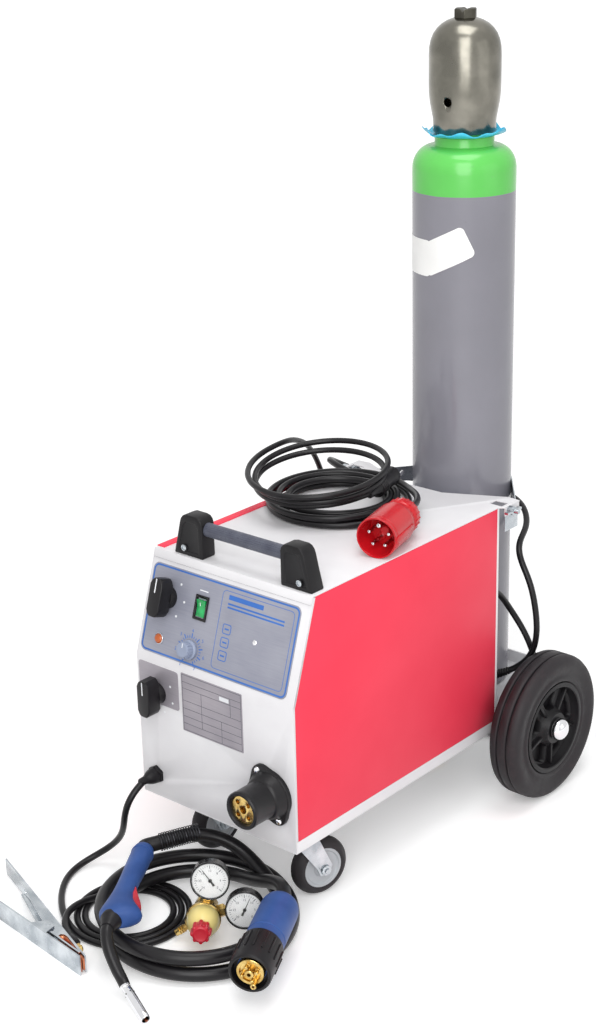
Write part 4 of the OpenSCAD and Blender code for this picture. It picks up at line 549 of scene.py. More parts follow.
# %% [markdown]
# ## Modelling helpers
# A turned or moulded round piece starts as a circle, and each next ring is extruded from the last
# one, moved along the axis and scaled, as on a lathe. A flat piece starts as a circle whose corners
# are put on its outline, and is then given its thickness. Both are laid along the direction they
# really have: a place and a turn, in one pair, say where a piece's own origin and Z axis go.

# %% Rings, plates and placing


def begin(name):
    piece = bpy.context.active_object
    piece.name = piece.data.name = name
    return piece


def clear():
    bpy.ops.object.select_all(action="DESELECT")


def aim_turn(toward):
    d = Vector(toward).normalized()
    return (Matrix.Rotation(math.atan2(d.y, d.x), 4, "Z")
            @ Matrix.Rotation(math.acos(max(-1, min(1, d.z))), 4, "Y"))


def only(piece):
    clear()
    piece.select_set(True)
    bpy.context.view_layer.objects.active = piece


def smooth(piece, angle):
    only(piece)
    bpy.ops.object.shade_smooth_by_angle(angle=math.radians(angle))
    return piece


def changed(piece, kind, **settings):
    only(piece)
    step = piece.modifiers.new(kind, kind)
    for key, value in settings.items():
        setattr(step, key, value)
    bpy.ops.object.modifier_apply(modifier=step.name)
    return piece


def moved(piece, *moves):
    for move in (Matrix.Translation(-at(0, 0, 0)), *moves):
        piece.data.transform(move)
    return piece


def put(piece, place, turn=FLAT):
    only(piece)
    piece.matrix_world = Matrix.Translation(at(*place)) @ turn
    bpy.ops.object.transform_apply(location=True, rotation=True, scale=True)
    return piece


def coat(piece, finish, angle=35):
    smooth(piece, angle).data.materials.append(FINISH[finish])
    return piece


def round_edges(piece, radius, segments=2):
    return changed(piece, "BEVEL", width=radius / 1000, segments=segments, limit_method="ANGLE",
                   angle_limit=math.radians(40))


def thickened(piece, thick):
    return changed(piece, "SOLIDIFY", thickness=thick / 1000, offset=1)


def closed_up(fill=True):
    bpy.ops.mesh.select_all(action="SELECT")
    if fill:
        bpy.ops.mesh.fill_holes(sides=0)
    bpy.ops.mesh.select_all(action="SELECT")
    bpy.ops.mesh.normals_make_consistent(inside=False)
    bpy.ops.object.mode_set(mode="OBJECT")


def ringed(name, rings, place, turn, finish, sides=48, closed=False, angle=35, start=0.0):
    clear()
    full = [(*ring, ring[1], 0, 0)[:5] if len(ring) == 2 else (*ring, 0, 0)[:5] for ring in rings]
    z, rx, ry, dx, dy = full[0]
    bpy.ops.mesh.primitive_circle_add(vertices=sides, radius=1, fill_type="NOTHING",
                                      location=(0, 0, 0), rotation=(0, 0, start))
    piece = begin(name)
    bpy.ops.object.transform_apply(location=False, rotation=True, scale=False)
    bpy.ops.object.mode_set(mode="EDIT")
    bpy.ops.mesh.select_all(action="SELECT")
    bpy.ops.transform.resize(value=(rx / 1000, ry / 1000, 1), center_override=(0, 0, 0))
    bpy.ops.transform.translate(value=(dx / 1000, dy / 1000, z / 1000))
    for z1, rx1, ry1, dx1, dy1 in full[1:]:
        bpy.ops.mesh.extrude_region_move(TRANSFORM_OT_translate={
            "value": ((dx1 - dx) / 1000, (dy1 - dy) / 1000, (z1 - z) / 1000)})
        bpy.ops.transform.resize(value=(rx1 / rx, ry1 / ry, 1),
                                 center_override=(dx1 / 1000, dy1 / 1000, z1 / 1000))
        z, rx, ry, dx, dy = z1, rx1, ry1, dx1, dy1
    bpy.ops.mesh.select_all(action="SELECT")
    bpy.ops.mesh.remove_doubles(threshold=0.00001)
    closed_up(fill=not closed)
    put(piece, place, turn)
    return coat(piece, finish, angle)


def flat_face(name, outline, base):
    clear()
    bpy.ops.mesh.primitive_circle_add(vertices=len(outline), radius=1, fill_type="NGON",
                                      location=(0, 0, 0))
    piece = begin(name)
    for corner, (x, y) in zip(piece.data.vertices, outline):
        corner.co = (x / 1000, y / 1000, base / 1000)
    bpy.ops.object.mode_set(mode="EDIT")
    bpy.ops.mesh.select_all(action="SELECT")
    return piece


def drawn_up(thick, fill=True):
    bpy.ops.mesh.extrude_region_move(TRANSFORM_OT_translate={"value": (0, 0, thick / 1000)})
    closed_up(fill)


def plate(name, outline, thick, place, turn, finish, radius=0.0, base=0.0, segments=2):
    piece = flat_face(name, outline, base)
    drawn_up(thick)
    if radius:
        round_edges(piece, radius, segments)
    put(piece, place, turn)
    return coat(piece, finish, 30)


def block(name, low, high, finish, radius=0.4, place=(0, 0, 0), turn=FLAT, segments=2):
    x0, y0, z0, x1, y1, z1 = *low, *high
    return plate(name, [(x0, y0), (x1, y0), (x1, y1), (x0, y1)], z1 - z0, place, turn, finish,
                 radius, z0, segments)


def merged(name, pieces):
    clear()
    for piece in pieces:
        piece.select_set(True)
    bpy.context.view_layer.objects.active = pieces[0]
    bpy.ops.object.join()
    pieces[0].name = pieces[0].data.name = name
    return pieces[0]


def copied(piece, name, move):
    made = piece.copy()
    made.data = piece.data.copy()
    made.name = made.data.name = name
    bpy.context.scene.collection.objects.link(made)
    made.data.transform(move)
    if move.determinant() < 0:
        made.data.flip_normals()
    return made


def bored(piece, cutters):
    for cutter in cutters:
        changed(piece, "BOOLEAN", operation="DIFFERENCE", solver="EXACT", object=cutter)
        bpy.data.objects.remove(cutter)
    return piece


def tube(name, points, diameter, finish, sides=4, sizes=None):
    made = round_line(name, points, diameter, sides, sizes)
    only(made)
    bpy.ops.object.convert(target="MESH")
    return coat(bpy.context.active_object, finish, 40)


def printed_number(name, value, size, thick, spot, lift, place, turn, finish, lean=FLAT):
    clear()
    bpy.ops.object.text_add(location=(0, 0, 0))
    digit = bpy.context.active_object
    digit.data.body = str(value)
    digit.data.size = size / 1000
    digit.data.align_x, digit.data.align_y = "CENTER", "CENTER"
    digit.data.extrude = thick / 1000
    bpy.ops.object.convert(target="MESH")
    digit.name = digit.data.name = name
    digit.data.transform(Matrix.Translation(Vector((*spot, lift)) / 1000) @ lean)
    return coat(put(digit, place, turn), finish)


def on_circle(middle, radius, angle):
    return middle[0] + radius * math.cos(angle), middle[1] + radius * math.sin(angle)


def radial(middle, angle, inner, outer, half):
    (x, y), c, s = middle, math.cos(angle), math.sin(angle)
    return [(x + r * c - e * s, y + r * s + e * c)
            for r, e in ((inner, -half), (outer, -half), (outer, half), (inner, half))]


def axis(start, end):
    along = Vector(end) - Vector(start)
    return (Vector(start), aim_turn(along)), along.length


def beside(line, x, y, z=0.0):
    return line[0] + line[1].to_3x3() @ Vector((x, y, z))


def around(line, radius, angle, along=0.0):
    a = math.radians(angle)
    return beside(line, radius * math.cos(a), radius * math.sin(a), along)


def both_sides(half, width):
    return half + [(width - z, r) for z, r in reversed(half)] + [half[0]]


def settle(piece, body, slot, *solids):
    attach(piece, body)
    if solids:
        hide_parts(*solids)
    return piece


ALONG_X = turned(90, "Y")
SLOPE, SLOPE_FOOT = math.radians(72.15), 305
ON_SLOPE = Matrix.Rotation(SLOPE, 4, "X")
ON_FRONT = turned(90, "X")


def on_slope(x, t):
    return (x, t * math.cos(SLOPE), SLOPE_FOOT + t * math.sin(SLOPE))


FRONT = ((0, 0, 0), ON_FRONT)
SHEET = (on_slope(0, 0), ON_SLOPE)
print("modelling helpers ready")

# %% [markdown]
# ## Dressing the solids
# Many solids already have the right shape: folded sheet, turned and drilled metal. A copy of such a
# solid is merged, its sharp edges get the small radius every real edge has, and round faces are
# shaded smooth. The radius is what catches the light along a fold or a rim.

# %% Dressed copies of solids


def dressed(node, finish, radius, name=None):
    source = frame["nodes"][node]
    made = source.copy()
    made.data = source.data.copy()
    made.name = name or node + "_dressed"
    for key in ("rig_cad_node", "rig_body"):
        if key in made:
            del made[key]
    bpy.context.scene.collection.objects.link(made)
    only(made)
    bpy.ops.object.mode_set(mode="EDIT")
    bpy.ops.mesh.select_all(action="SELECT")
    bpy.ops.mesh.remove_doubles(threshold=0.00001)
    bpy.ops.mesh.dissolve_limited(angle_limit=math.radians(0.6))
    bpy.ops.object.mode_set(mode="OBJECT")
    smooth(round_edges(made, radius), 32)
    made.data.materials.clear()
    made.data.materials.append(FINISH[finish])
    bodies = frame["record"]["behaviour"]["bodies"]
    body = next(b for b, members in bodies.items() if node in members)
    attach(made, body)
    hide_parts(node)
    return made


for finish, radius, slot, nodes in (("white_powder_coat", 0.35, "white_paint",
                                     ("base_pan", "front_panel", "rear_panel", "lid")),
                                    ("red_powder_coat", 0.3, "red_paint",
                                     ("side_cover_left", "side_cover_right")),
                                    ("shelf_powder_coat", 0.4, "grey_paint", ("rear_shelf",)),
                                    ("turned_brass", 0.4, "brass", ("cylinder_valve",)),
                                    ("zinc_plate", 0.2, "zinc", ("cylinder_strap",)),
                                    ("black_abs", 0.3, "black_plastic", ("rear_fittings",)),
                                    ("laminate_iron", 0.4, "winding", ("electrics",)),
                                    ("fan_plastic", 0.3, "black_plastic", ("fan_blades",)),
                                    ("machine_grey", 0.4, "grey_paint", ("feed_motor",)),
                                    ("zinc_plate", 0.2, "zinc", ("drive_roll",)),
                                    ("aluminium", 0.4, "grey_paint", ("pressure_arm",)),
                                    ("winding_copper", 0.4, "wire", ("wire_spool",))):
    for node in nodes:
        dressed(node, finish, radius)

# %% [markdown]
# ## Rear wheels
# A solid rubber tyre on a moulded rim. The tyre is soft, so its shoulders are round; two grooves
# run round the tread, and a low bead stands where rubber meets rim. The rim has five hollow pockets
# with ribs between them, made by pushing the disc in between its spokes.

# %% Tyre
half_tread = [(6, 66), (3.2, 68), (2.4, 71), (2.9, 74), (4.2, 75.5), (3.6, 80), (1.6, 85),
              (0.4, 90), (0.2, 94), (1.4, 98), (4.2, 101.4), (8, 103.6), (12, 104.4), (14.2, 104.4),
              (14.9, 103.7), (15.3, 101.2), (17, 100.8), (17.4, 103.7), (18.2, 104.45),
              (23.4, 104.5)]
AXLE = (485, 104.5)
WHEEL = ((150, *AXLE), ALONG_X)
tyre = ringed("tyre_right", both_sides(half_tread, 48), *WHEEL, "tyre_rubber", 96, True, 50)
print("tyre faces:", len(tyre.data.polygons))

# %% [markdown]
# The rim is one turned disc with a rim ring and a hub. Its pockets are cut from both sides with a
# rounded wedge, copied round five times.

# %% Rim and hub
rim_rings = [(1.5, 22), (4, 23.5), (5, 24), (9, 26), (13, 30), (14, 56), (8, 58.5), (3.4, 59.4),
             (2.4, 61), (3, 66), (45, 66), (45.6, 61), (44.6, 59.4), (40, 58.5), (34, 56), (35, 30),
             (39, 26), (43, 24), (44, 23.5), (46.5, 22), (46.5, 10.1), (1.5, 10.1), (1.5, 22)]
rim = ringed("rim_right", rim_rings, *HERE, "black_nylon", 80, True, 30)
wedge = [(27, -7), (31, -12), (48, -22), (51.5, -21), (53.5, 0), (51.5, 21), (48, 22), (31, 12),
         (27, 7)]
pocket_turns = [turned(36 + 72 * k) for k in range(5)]
cutters = [plate("pocket", wedge, 40, (0, 0, 4), turn, "black_nylon", 2.0) for turn in pocket_turns]
floors = [plate("pocket_floor", [(x * 1.01, y * 1.02) for x, y in wedge], 3, (0, 0, 22.5), turn,
                "black_nylon") for turn in pocket_turns]
ribs = [block("rib", (22, -2, 8), (58, 2, 40), "black_nylon", 0.8, turn=turned(72 * k))
        for k in range(5)]
rim = put(moved(merged("rim_right", [bored(rim, cutters)] + floors + ribs)), *WHEEL)
wheel_right = settle(merged("rear_wheel_right_made", [tyre, rim]), "rear_wheel_right", "tyre",
                     "rear_wheel_right")
mirror = (Matrix.Translation(at(0, 0, 0)) @ Matrix.Diagonal((-1, 1, 1, 1))
          @ Matrix.Translation(-at(0, 0, 0)))
wheel_left = copied(wheel_right, "rear_wheel_left_made", mirror)
settle(wheel_left, "rear_wheel_left", "tyre", "rear_wheel_left")
print("wheel faces:", len(wheel_right.data.polygons))

# %% [markdown]
# The axle is a plated bar; a pressed cap with a bright dome closes each end.

# %% Axle and hub caps
axle = ringed("axle_bar", [(0, 9), (1, 10), (407, 10), (408, 9)], (-204, *AXLE), ALONG_X,
              "zinc_plate", 32)
spacers = [ringed("spacer", [(0, 14), (0.8, 15), (28.6, 15), (29.4, 14)],
                  (x, *AXLE), ALONG_X, "black_nylon", 40) for x in (-149.7, 120.3)]
dome = [(0.3, 15.2), (0.6, 16), (4.6, 16)] + [(5 + 10.6 * math.sin(a), 15.6 * math.cos(a))
                                             for a in (0.12, 0.35, 0.6, 0.85, 1.1, 1.3, 1.45)]
caps = [ringed("hub_cap", dome, (198 * s, *AXLE), turned(90 * s, "Y"), "bright_chrome", 48)
        for s in (1, -1)]
settle(merged("rear_axle_made", [axle] + spacers + caps), "machine", "zinc", "rear_axle")
print("axle ready")

# %% [markdown]
# ## Gas cylinder
# A drawn steel bottle: straight wall, round shoulder, a shrunk neck ring, and a foot pressed in. It
# is turned from 96-sided rings, so its outline stays round at this size. Paint hides the steel.

# %% Cylinder
bottle = [(12, 2), (6, 48), (1, 57), (0, 60), (0.4, 65), (2.2, 68.4), (5, 69.8), (8, 70), (700, 70),
          (747, 70)]
bottle += [(747 + 31 * math.sin(a), 44 + 26 * math.cos(a)) for a in
           [math.radians(d) for d in range(10, 90, 10)]]
bottle += [(778, 43), (778.6, 40.8), (780, 40), (790, 40), (790.8, 39.4), (791, 36), (804, 36)]
BOTTLE_Y, SHELF_TOP, CAP_FOOT = 526, 119, 914.3
cylinder = ringed("gas_bottle", bottle, (0, BOTTLE_Y, SHELF_TOP), FLAT, "cylinder_paint", 96)
settle(cylinder, "machine", "grey_paint", "gas_cylinder")

# %% [markdown]
# The steel cap that guards the valve is drawn from plate: narrow thread at its foot, a wider body,
# a round dome, and a hexagon key with a notch. Two vent holes go through its sides.

# %% Cap
shell = [(0, 39), (0.4, 41.4), (1.4, 42), (12, 42), (18, 42.4), (28, 44.4), (40, 46.6), (52, 47.8),
         (62, 48), (100, 48), (110, 47.4), (119, 45.6), (127, 42.4), (134, 37.4), (139.5, 31.4),
         (143.8, 24), (146.6, 16), (148, 8), (148, 2)]
inside = [(z - 3 if z > 60 else z, r - 3) for z, r in reversed(shell[:-1]) if r > 6]
cap = ringed("cap_shell", shell + [(145, 2)] + inside[1:] + [(0, 39)],
             (0, BOTTLE_Y, CAP_FOOT), FLAT, "cap_steel", 96, True)
cap = bored(cap, [ringed("vent", [(20, 6), (60, 6)], (0, BOTTLE_Y, CAP_FOOT + 43),
                         turned(angle) @ ALONG_X, "cap_steel", 32) for angle in (-83, 97)])
key = ringed("cap_key", [(-4, 16), (9.8, 16), (11, 14.6)], (0, BOTTLE_Y, CAP_FOOT + 147.9), FLAT,
             "key_iron", 6, start=math.radians(30), angle=20)
notch = block("notch", (-7, -30, -7), (7, 30, 7), "key_iron", 0, (0, BOTTLE_Y, CAP_FOOT + 164),
              turned(20) @ turned(45, "Y"))
key = round_edges(bored(key, [notch]), 0.5)
cap = merged("cap_made", [cap, key])
settle(cap, "cylinder_cap", "cap_steel", "cylinder_cap")
print("cap faces:", len(cap.data.polygons))

# %% [markdown]
# A shrink film seals the cap; what is left of it stands out as a blue frill. Its edge is wavy, so
# the ring is subdivided and its outer edge lifted in uneven waves, then given a film's thickness.

# %% Film frill
film = ringed("film_frill", [(0.2, 36.6), (0.8, 43), (1.6, 48), (3.6, 52), (6.2, 55)],
              (0, BOTTLE_Y, CAP_FOOT - 4.1), FLAT, "washer_film", 96, True, 80)
centre = at(0, BOTTLE_Y, 0)
for corner in film.data.vertices:
    dx, dy = corner.co.x - centre.x, corner.co.y - centre.y
    r, a = math.hypot(dx, dy) * 1000, math.atan2(dy, dx)
    out = max(0, (r - 43) / 12)
    wave = 0.5 * math.sin(5 * a + 1) + 0.35 * math.sin(11 * a) + 0.25 * math.sin(3 * a + 2)
    corner.co.z += out * out * wave * 0.0055 + out * out * 0.001
    if r > 43:
        k = 1 + out * (0.035 * math.sin(4 * a + 0.6) + 0.02 * math.sin(9 * a))
        corner.co.x, corner.co.y = centre.x + dx * k, centre.y + dy * k
settle(thickened(film, 0.6), "machine", "film", "cap_washer")
print("film box:", [round(c, 3) for c in film.dimensions])

# %% [markdown]
# A white paper label is wrapped round the cylinder at a slant. It starts as a fine grid, cut to
# shape at its corners, is bent round the wall and gets a paper's thickness. It is left blank.

# %% Label


def wrap_label(name, a0, a1, height, z0, lean, radius):
    clear()
    bpy.ops.mesh.primitive_grid_add(x_subdivisions=48, y_subdivisions=20, size=1,
                                    location=(0, 0, 0))
    piece = begin(name)
    nick, lean = 7.0, math.radians(lean)
    for corner in piece.data.vertices:
        u, v = corner.co.x + 0.5, corner.co.y + 0.5
        along, up = a0 + (a1 - a0) * u, height * (v - 0.5)
        du, dv = min(u, 1 - u) * abs(a1 - a0), min(v, 1 - v) * height
        beyond = math.hypot(nick - du, nick - dv) - nick
        if du < nick and dv < nick and beyond > 0:
            along += (1 if u < 0.5 else -1) * beyond * 0.7
            up += (1 if v < 0.5 else -1) * beyond * 0.7
        a = (along * math.cos(lean) - up * math.sin(lean)) / radius
        z = along * math.sin(lean) + up * math.cos(lean)
        corner.co = at(radius * math.cos(a), BOTTLE_Y + radius * math.sin(a), z0 + z)
    return coat(thickened(piece, 0.3), "label_film", 60)


print("label helper ready")

# %% Two labels
label_low = wrap_label("label_low", -182, -114, 49, 753.5, 0, 70.06)
label_high = wrap_label("label_high", -141, -66.1, 43.4, 810.2, 26, 70.4)
settle(merged("cylinder_labels", [label_low, label_high]), "machine", "grey_paint")
print("labels on")

# %% [markdown]
# ## Handle
# Two moulded nylon feet hold a ribbed plastic tube. Each foot is a thick arch, cut from a flat
# outline and well rounded, with a shallow pocket in front and a sunk screw at its outer end.

# %% Handle feet
foot = [(65, 0), (115, 0), (108.5, 24), (103.4, 44), (101.5, 49), (98, 53), (93, 55), (76, 55),
        (70, 53.5), (66.5, 50), (65, 45)]
pocket = [(72, 6), (106.5, 6), (102, 24), (98, 40), (92, 46), (76, 46), (72, 40)]
screw = [(0, 4.4), (1.6, 4.2), (2.2, 2.6), (1.2, 2.3), (1.2, 0.4)]
GRIP_MIDDLE, LID_TOP, feet = 14, 438.5, []
for side in (1, -1):
    arch, hollow = [plate("foot", [(side * x, y) for x, y in outline[::side]], thick,
                          (GRIP_MIDDLE, face, LID_TOP), ON_FRONT, "black_nylon", radius,
                          segments=segments) for outline, thick, face, radius,
                    segments in ((foot, 24, 69, 2.2, 3), (pocket, 3, 46.2, 0.8, 2))]
    feet += [round_edges(bored(arch, [hollow]), 0.5),
             ringed("foot_screw", screw, (GRIP_MIDDLE + side * 96, 44.6, LID_TOP + 10.5), ON_FRONT,
                    "zinc_plate", 24)]
settle(merged("handle_feet", feet), "machine", "black_plastic", "handle_brackets")
print("handle feet ready")

# %% [markdown]
# The grip is an extruded tube with fine grooves along it, so that a hand does not slip. Its section
# is a circle whose every second corner is drawn in by half a millimetre.

# %% Grip tube
clear()
bpy.ops.mesh.primitive_circle_add(vertices=96, radius=0.009, fill_type="NOTHING",
                                  location=(0, 0, 0))
grip = begin("grip_tube")
for n, corner in enumerate(grip.data.vertices):
    if n % 4 == 0:
        corner.co *= 0.93
bpy.ops.object.mode_set(mode="EDIT")
bpy.ops.mesh.select_all(action="SELECT")
drawn_up(158)
put(grip, (-65, 57, 476.5), ALONG_X)
coat(grip, "grip_blue_grey", 25)
settle(grip, "machine", "grip_tube", "handle_grip")
print("grip faces:", len(grip.data.polygons))

# %% [markdown]
# ## Control panel
# A printed film with rounded corners is glued to the slope; a smaller plate sits behind the lower
# switch and a ruled rating plate beside it. What is printed is drawn as very thin raised shapes: a
# frame line, a panel outline, scales round the knobs and plain bars where words would be.

# %% Films and plates


def rounded(x0, y0, x1, y1, r, steps=5):
    points = []
    for cx, cy, a0 in ((x1 - r, y0 + r, -90), (x1 - r, y1 - r, 0), (x0 + r, y1 - r, 90),
                       (x0 + r, y0 + r, 180)):
        points += [(cx + r * math.cos(math.radians(a0 + 90 * k / steps)),
                    cy + r * math.sin(math.radians(a0 + 90 * k / steps))) for k in range(steps + 1)]
    return points


def frame_line(name, outer, width, place, turn, finish, base):
    piece = flat_face(name, outer, base)
    bpy.ops.mesh.inset(thickness=width / 1000, depth=0)
    bpy.ops.mesh.delete(type="FACE")
    bpy.ops.mesh.select_all(action="SELECT")
    drawn_up(0.12, fill=False)
    return coat(put(piece, place, turn), finish)


SHEET_LOW, FILM = 7.13, 0.8
film = plate("film", rounded(-128.5, SHEET_LOW, 120.5, SHEET_LOW + 116, 9), FILM, *SHEET,
             "control_film")
switch_plate = plate("switch_plate", rounded(-130, 243, -60, 297, 4), FILM, *FRONT, "rating_film")
rating = plate("rating_plate", rounded(-54, 219, 50, 300, 1), FILM, *FRONT, "rating_film")
settle(merged("films_and_plates", [film, switch_plate, rating]), "machine", "control_foil",
       "front_plates")
print("films ready")

# %% Printed lines, and a painted shadow line under the lid's lip
UPPER, LOWER = (-94, SHEET_LOW + 76), (-97, 259)
DIAL, ROCKER = (-44, SHEET_LOW + 20), (-37, SHEET_LOW + 76)
prints_and_lip_shadow = []


def printed(name, outline, finish="print_blue", on=SHEET, thick=0.1, base=FILM):
    prints_and_lip_shadow.append(plate(name, outline, thick, *on, finish, 0, base))


def bar(x0, y0, x1, y1, finish="print_blue", on=SHEET, thick=0.1):
    printed("bar", [(x0, y0), (x1, y0), (x1, y1), (x0, y1)], finish, on, thick)


def outlined(box, r, width, finish="print_blue", on=SHEET):
    prints_and_lip_shadow.append(frame_line("outline", rounded(*box, r), width, *on, finish, FILM))


def dot(middle, angle, on, away=27, half=1.6):
    x, y = on_circle(middle, away, angle)
    printed("dot", rounded(x - half, y - half, x + half, y + half, 1.5), "print_white", on)


# The thin dark strip just under the lid's front lip is painted shadow: it stands for the shade in the
# gap between lid and front panel.
printed("painted_lip_shadow", [(-131, 128.3), (131, 128.3), (131, 129.2), (-131, 129.2)], "print_dark",
        thick=0.3, base=0)
outlined((-127, SHEET_LOW + 1.5, 119, SHEET_LOW + 114.5), 8, 2.2)
outlined((-6, SHEET_LOW + 8, 112, SHEET_LOW + 108), 6, 0.7)
for y in (91, 86.5):
    bar(5, SHEET_LOW + y, 98, SHEET_LOW + y + 2.2)
bar(5, SHEET_LOW + 97.5, 62, SHEET_LOW + 103.5)
for k in range(3):
    row = SHEET_LOW - 17 * k
    outlined((3, row + 54, 17, row + 67), 3, 1.1)
    bar(6.5, row + 59.5, 13.5, row + 61.5)
bar(-44, SHEET_LOW + 97, -30, SHEET_LOW + 98.4, "print_white")

# Scale round the small knob and marks round the two switches
for k in range(25):
    big = k % 3 == 0
    printed("tick", radial(DIAL, math.radians(-60 + 12.5 * k), 15.2, 21.5 if big else 18.6,
                           0.75 if big else 0.45))
for k in range(3):
    a = math.radians(50 - 50 * k)
    dot(UPPER, a, SHEET)
    dot(LOWER, a - 0.3, FRONT)

# Ruled fields of the rating plate, left blank
outlined((-52.5, 220.5, 48.5, 298.5), 0.6, 0.5, "print_dark", FRONT)
for y in (288, 279, 262, 251, 240, 230):
    bar(-52, y, 48, y + 0.5, "print_dark", FRONT)
for x, y0, y1 in ((-20, 230, 279), (14, 221, 251), (30, 262, 288)):
    bar(x, y0, x + 0.5, y1, "print_dark", FRONT)
bar(12, 281, 28, 286.5, "print_white", FRONT, 0.15)
settle(merged("panel_print_and_lip_shadow", prints_and_lip_shadow), "machine", "control_foil")
print("printed shapes:", len(prints_and_lip_shadow))

# %% [markdown]
# Numbers on the small knob's scale are plain digits. Each is a text object made a mesh, laid on the
# film and turned with it.

# %% Numbers on the scale
scale_radius = 24.6
digits = [printed_number("digit", k + 1, 6.2, 0.05,
                         on_circle(DIAL, scale_radius, math.radians(240 - 50 * k)), 0.86, *SHEET,
                         "print_blue") for k in range(7)]
settle(merged("scale_numbers", digits), "machine", "control_foil")
print("digits:", len(digits))

# %% [markdown]
# ## Switches and lamp
# The two rotary switches have big pointer knobs: a round skirt and a tall wing with a white line.
# The small knob is a soft grey cap with fine flutes. The rocker glows green inside a black frame.

# %% Pointer knobs


def pointer(name, place, turn):
    skirt = ringed(name + "_skirt", [(1.1, 14.4), (2.2, 14.6), (6.2, 13.2), (8.4, 12.4), (9, 11.4)],
                   *HERE, "black_abs", 56)
    wing = [(-4.5, -25), (4.5, -25), (7.6, -22.5), (10.4, -17), (10.4, 17), (7.6, 22.5), (4.5, 25),
            (-4.5, 25), (-7.6, 22.5), (-10.4, 17), (-10.4, -17), (-7.6, -22.5)]
    body = plate(name + "_wing", wing, 21.5, *HERE, "black_abs", 1.6, 7.5, 3)
    groove = plate(name + "_line", [(-0.8, 6), (0.8, 6), (0.8, 24.2), (-0.8, 24.2)], 0.25, *HERE,
                   "print_white", 0, 29)
    shaft = ringed(name + "_shaft", [(-18, 2.6), (-17.6, 3), (2, 3)], *HERE, "zinc_plate", 20)
    return put(moved(merged(name, [skirt, body, groove, shaft])), place, turn)


settle(pointer("upper_switch_knob", on_slope(*UPPER), ON_SLOPE), "voltage_switch", "black_plastic",
       "upper_knob")
settle(pointer("lower_switch_knob", (LOWER[0], 0, LOWER[1]), ON_FRONT), "step_switch",
       "black_plastic", "lower_knob")
print("pointer knobs ready")

# %% Small knob
DIAL_AT = (on_slope(*DIAL), ON_SLOPE)
dial = [ringed("dial_cap", [(1.1, 12.5), (1.6, 12.7), (4.4, 12.6), (5.2, 11.4), (6, 10.6),
                            (14.6, 9.9), (15.8, 9.3), (16.3, 8.2), (16.0, 6)], *DIAL_AT,
               "knob_grey", 48)]
dial += [block("flute", (9.6, -0.7, 6.4), (11.0, 0.7, 15), "knob_grey", 0.3, DIAL_AT[0],
               ON_SLOPE @ turned(22.5 * k)) for k in range(16)]
dial += [ringed("dial_shaft", [(-18, 2.6), (-17.6, 3), (3, 3)], *DIAL_AT, "zinc_plate", 20),
         plate("dial_line", [(-0.5, 3), (0.5, 3), (0.5, 9), (-0.5, 9)], 0.2, *DIAL_AT,
               "print_white", 0, 16.1)]
settle(merged("wire_speed_dial", dial), "wire_speed_knob", "knob_grey", "pot_knob")
print("small knob ready")

# %% Rocker, its frame and the lamp
ROCK = (on_slope(*ROCKER), ON_SLOPE)
housing = bored(block("rocker_bezel", (-11, -16, 0.8), (11, 16, 3), "gloss_black", 0.7, *ROCK),
                [block("window", (-8.2, -12.6, -2), (8.2, 12.6, 6), "gloss_black", 0, *ROCK)])
box_walls = [block("wall", low_corner, high_corner, "gloss_black", 0.2, *ROCK)
             for low_corner, high_corner in (
                 ((-8.95, -13.95, -20), (-7.6, 13.95, 1)), ((7.6, -13.95, -20), (8.95, 13.95, 1)),
                 ((-8.9, -13.9, -20), (8.9, -12.6, 1)), ((-8.9, 12.6, -20), (8.9, 13.9, 1)),
                 ((-8.9, -13.9, -20), (8.9, 13.9, -18)))]
green = plate("rocker_key", [(-11, 5.5), (-5.5, 4.2), (0, 3.6), (5.5, 4.2), (11, 5.5), (10, -4),
                             (0, -6), (-10, -4)], 14, *HERE, "green_lens", 0.5)
moved(green, ALONG_X @ turned(90), Matrix.Translation((-0.007, 0, 0)), turned(8, "X"),
      Matrix.Translation((0, 0, -0.002)))
settle(put(green, *ROCK), "power_rocker", "rocker_green", "rocker")
mark = plate("rocker_marks", [(-0.5, 4), (0.5, 4), (0.5, 8.5), (-0.5, 8.5)], 0.15, *HERE,
             "print_white")
moved(mark, turned(18, "X") @ Matrix.Translation((0, 0, 0.0039)),
      Matrix.Translation((0, 0, -0.0018)))
settle(put(mark, *ROCK), "power_rocker", "rocker_green")
LAMP = (on_slope(-98, SHEET_LOW + 21), ON_SLOPE)
GLAND = ((-108, 0, 137), ON_FRONT)
lens = [(1.8, 6.3), (2.6, 6.1)] + [(2.4 + 3.8 * math.sin(a), 6.2 * math.cos(a))
                                  for a in (0.2, 0.45, 0.7, 0.95, 1.2, 1.42)]
small = [ringed("lamp_rim", [(-14, 5.9), (0.8, 5.9), (0.9, 7.3), (1.3, 7.5), (2.4, 7.2), (2.8, 6.6),
                             (2.2, 6.2)], *LAMP, "zinc_plate", 36),
         ringed("lamp_lens", lens, *LAMP, "amber_lens", 36),
         ringed("gland_nut", [(0, 13), (4.2, 13), (5, 12)], *GLAND, "black_nylon", 6, angle=20),
         ringed("gland_neck", [(-5.5, 11.8), (-1.5, 11.8), (-1.5, 7.9), (4, 10.6), (8, 10.6),
                               (13, 9.6), (18, 7.6), (20, 6.4), (22, 5.6), (30, 5.2), (31, 4.7)],
                *GLAND, "black_nylon", 36),
         ringed("film_rivet", [(0.8, 3.4), (1.2, 3.4), (2.0, 2.4), (2.3, 1)],
                on_slope(57.5, SHEET_LOW + 56), ON_SLOPE, "bright_chrome", 24)]
settle(merged("switch_frame_lamp_gland", [housing] + box_walls + small), "machine",
       "black_plastic", "front_fittings")
print("switches and lamp ready")

# %% [markdown]
# ## Torch
# The handle is moulded in one blue shell: slim where the hose enters, full in the palm, and flared
# into a guard in front of the trigger. Oval rings, each a little wider or shifted, give that shape.
# The nose and the bent neck are black, and the gas nozzle at the end is chromed.

# %% Helix and handle


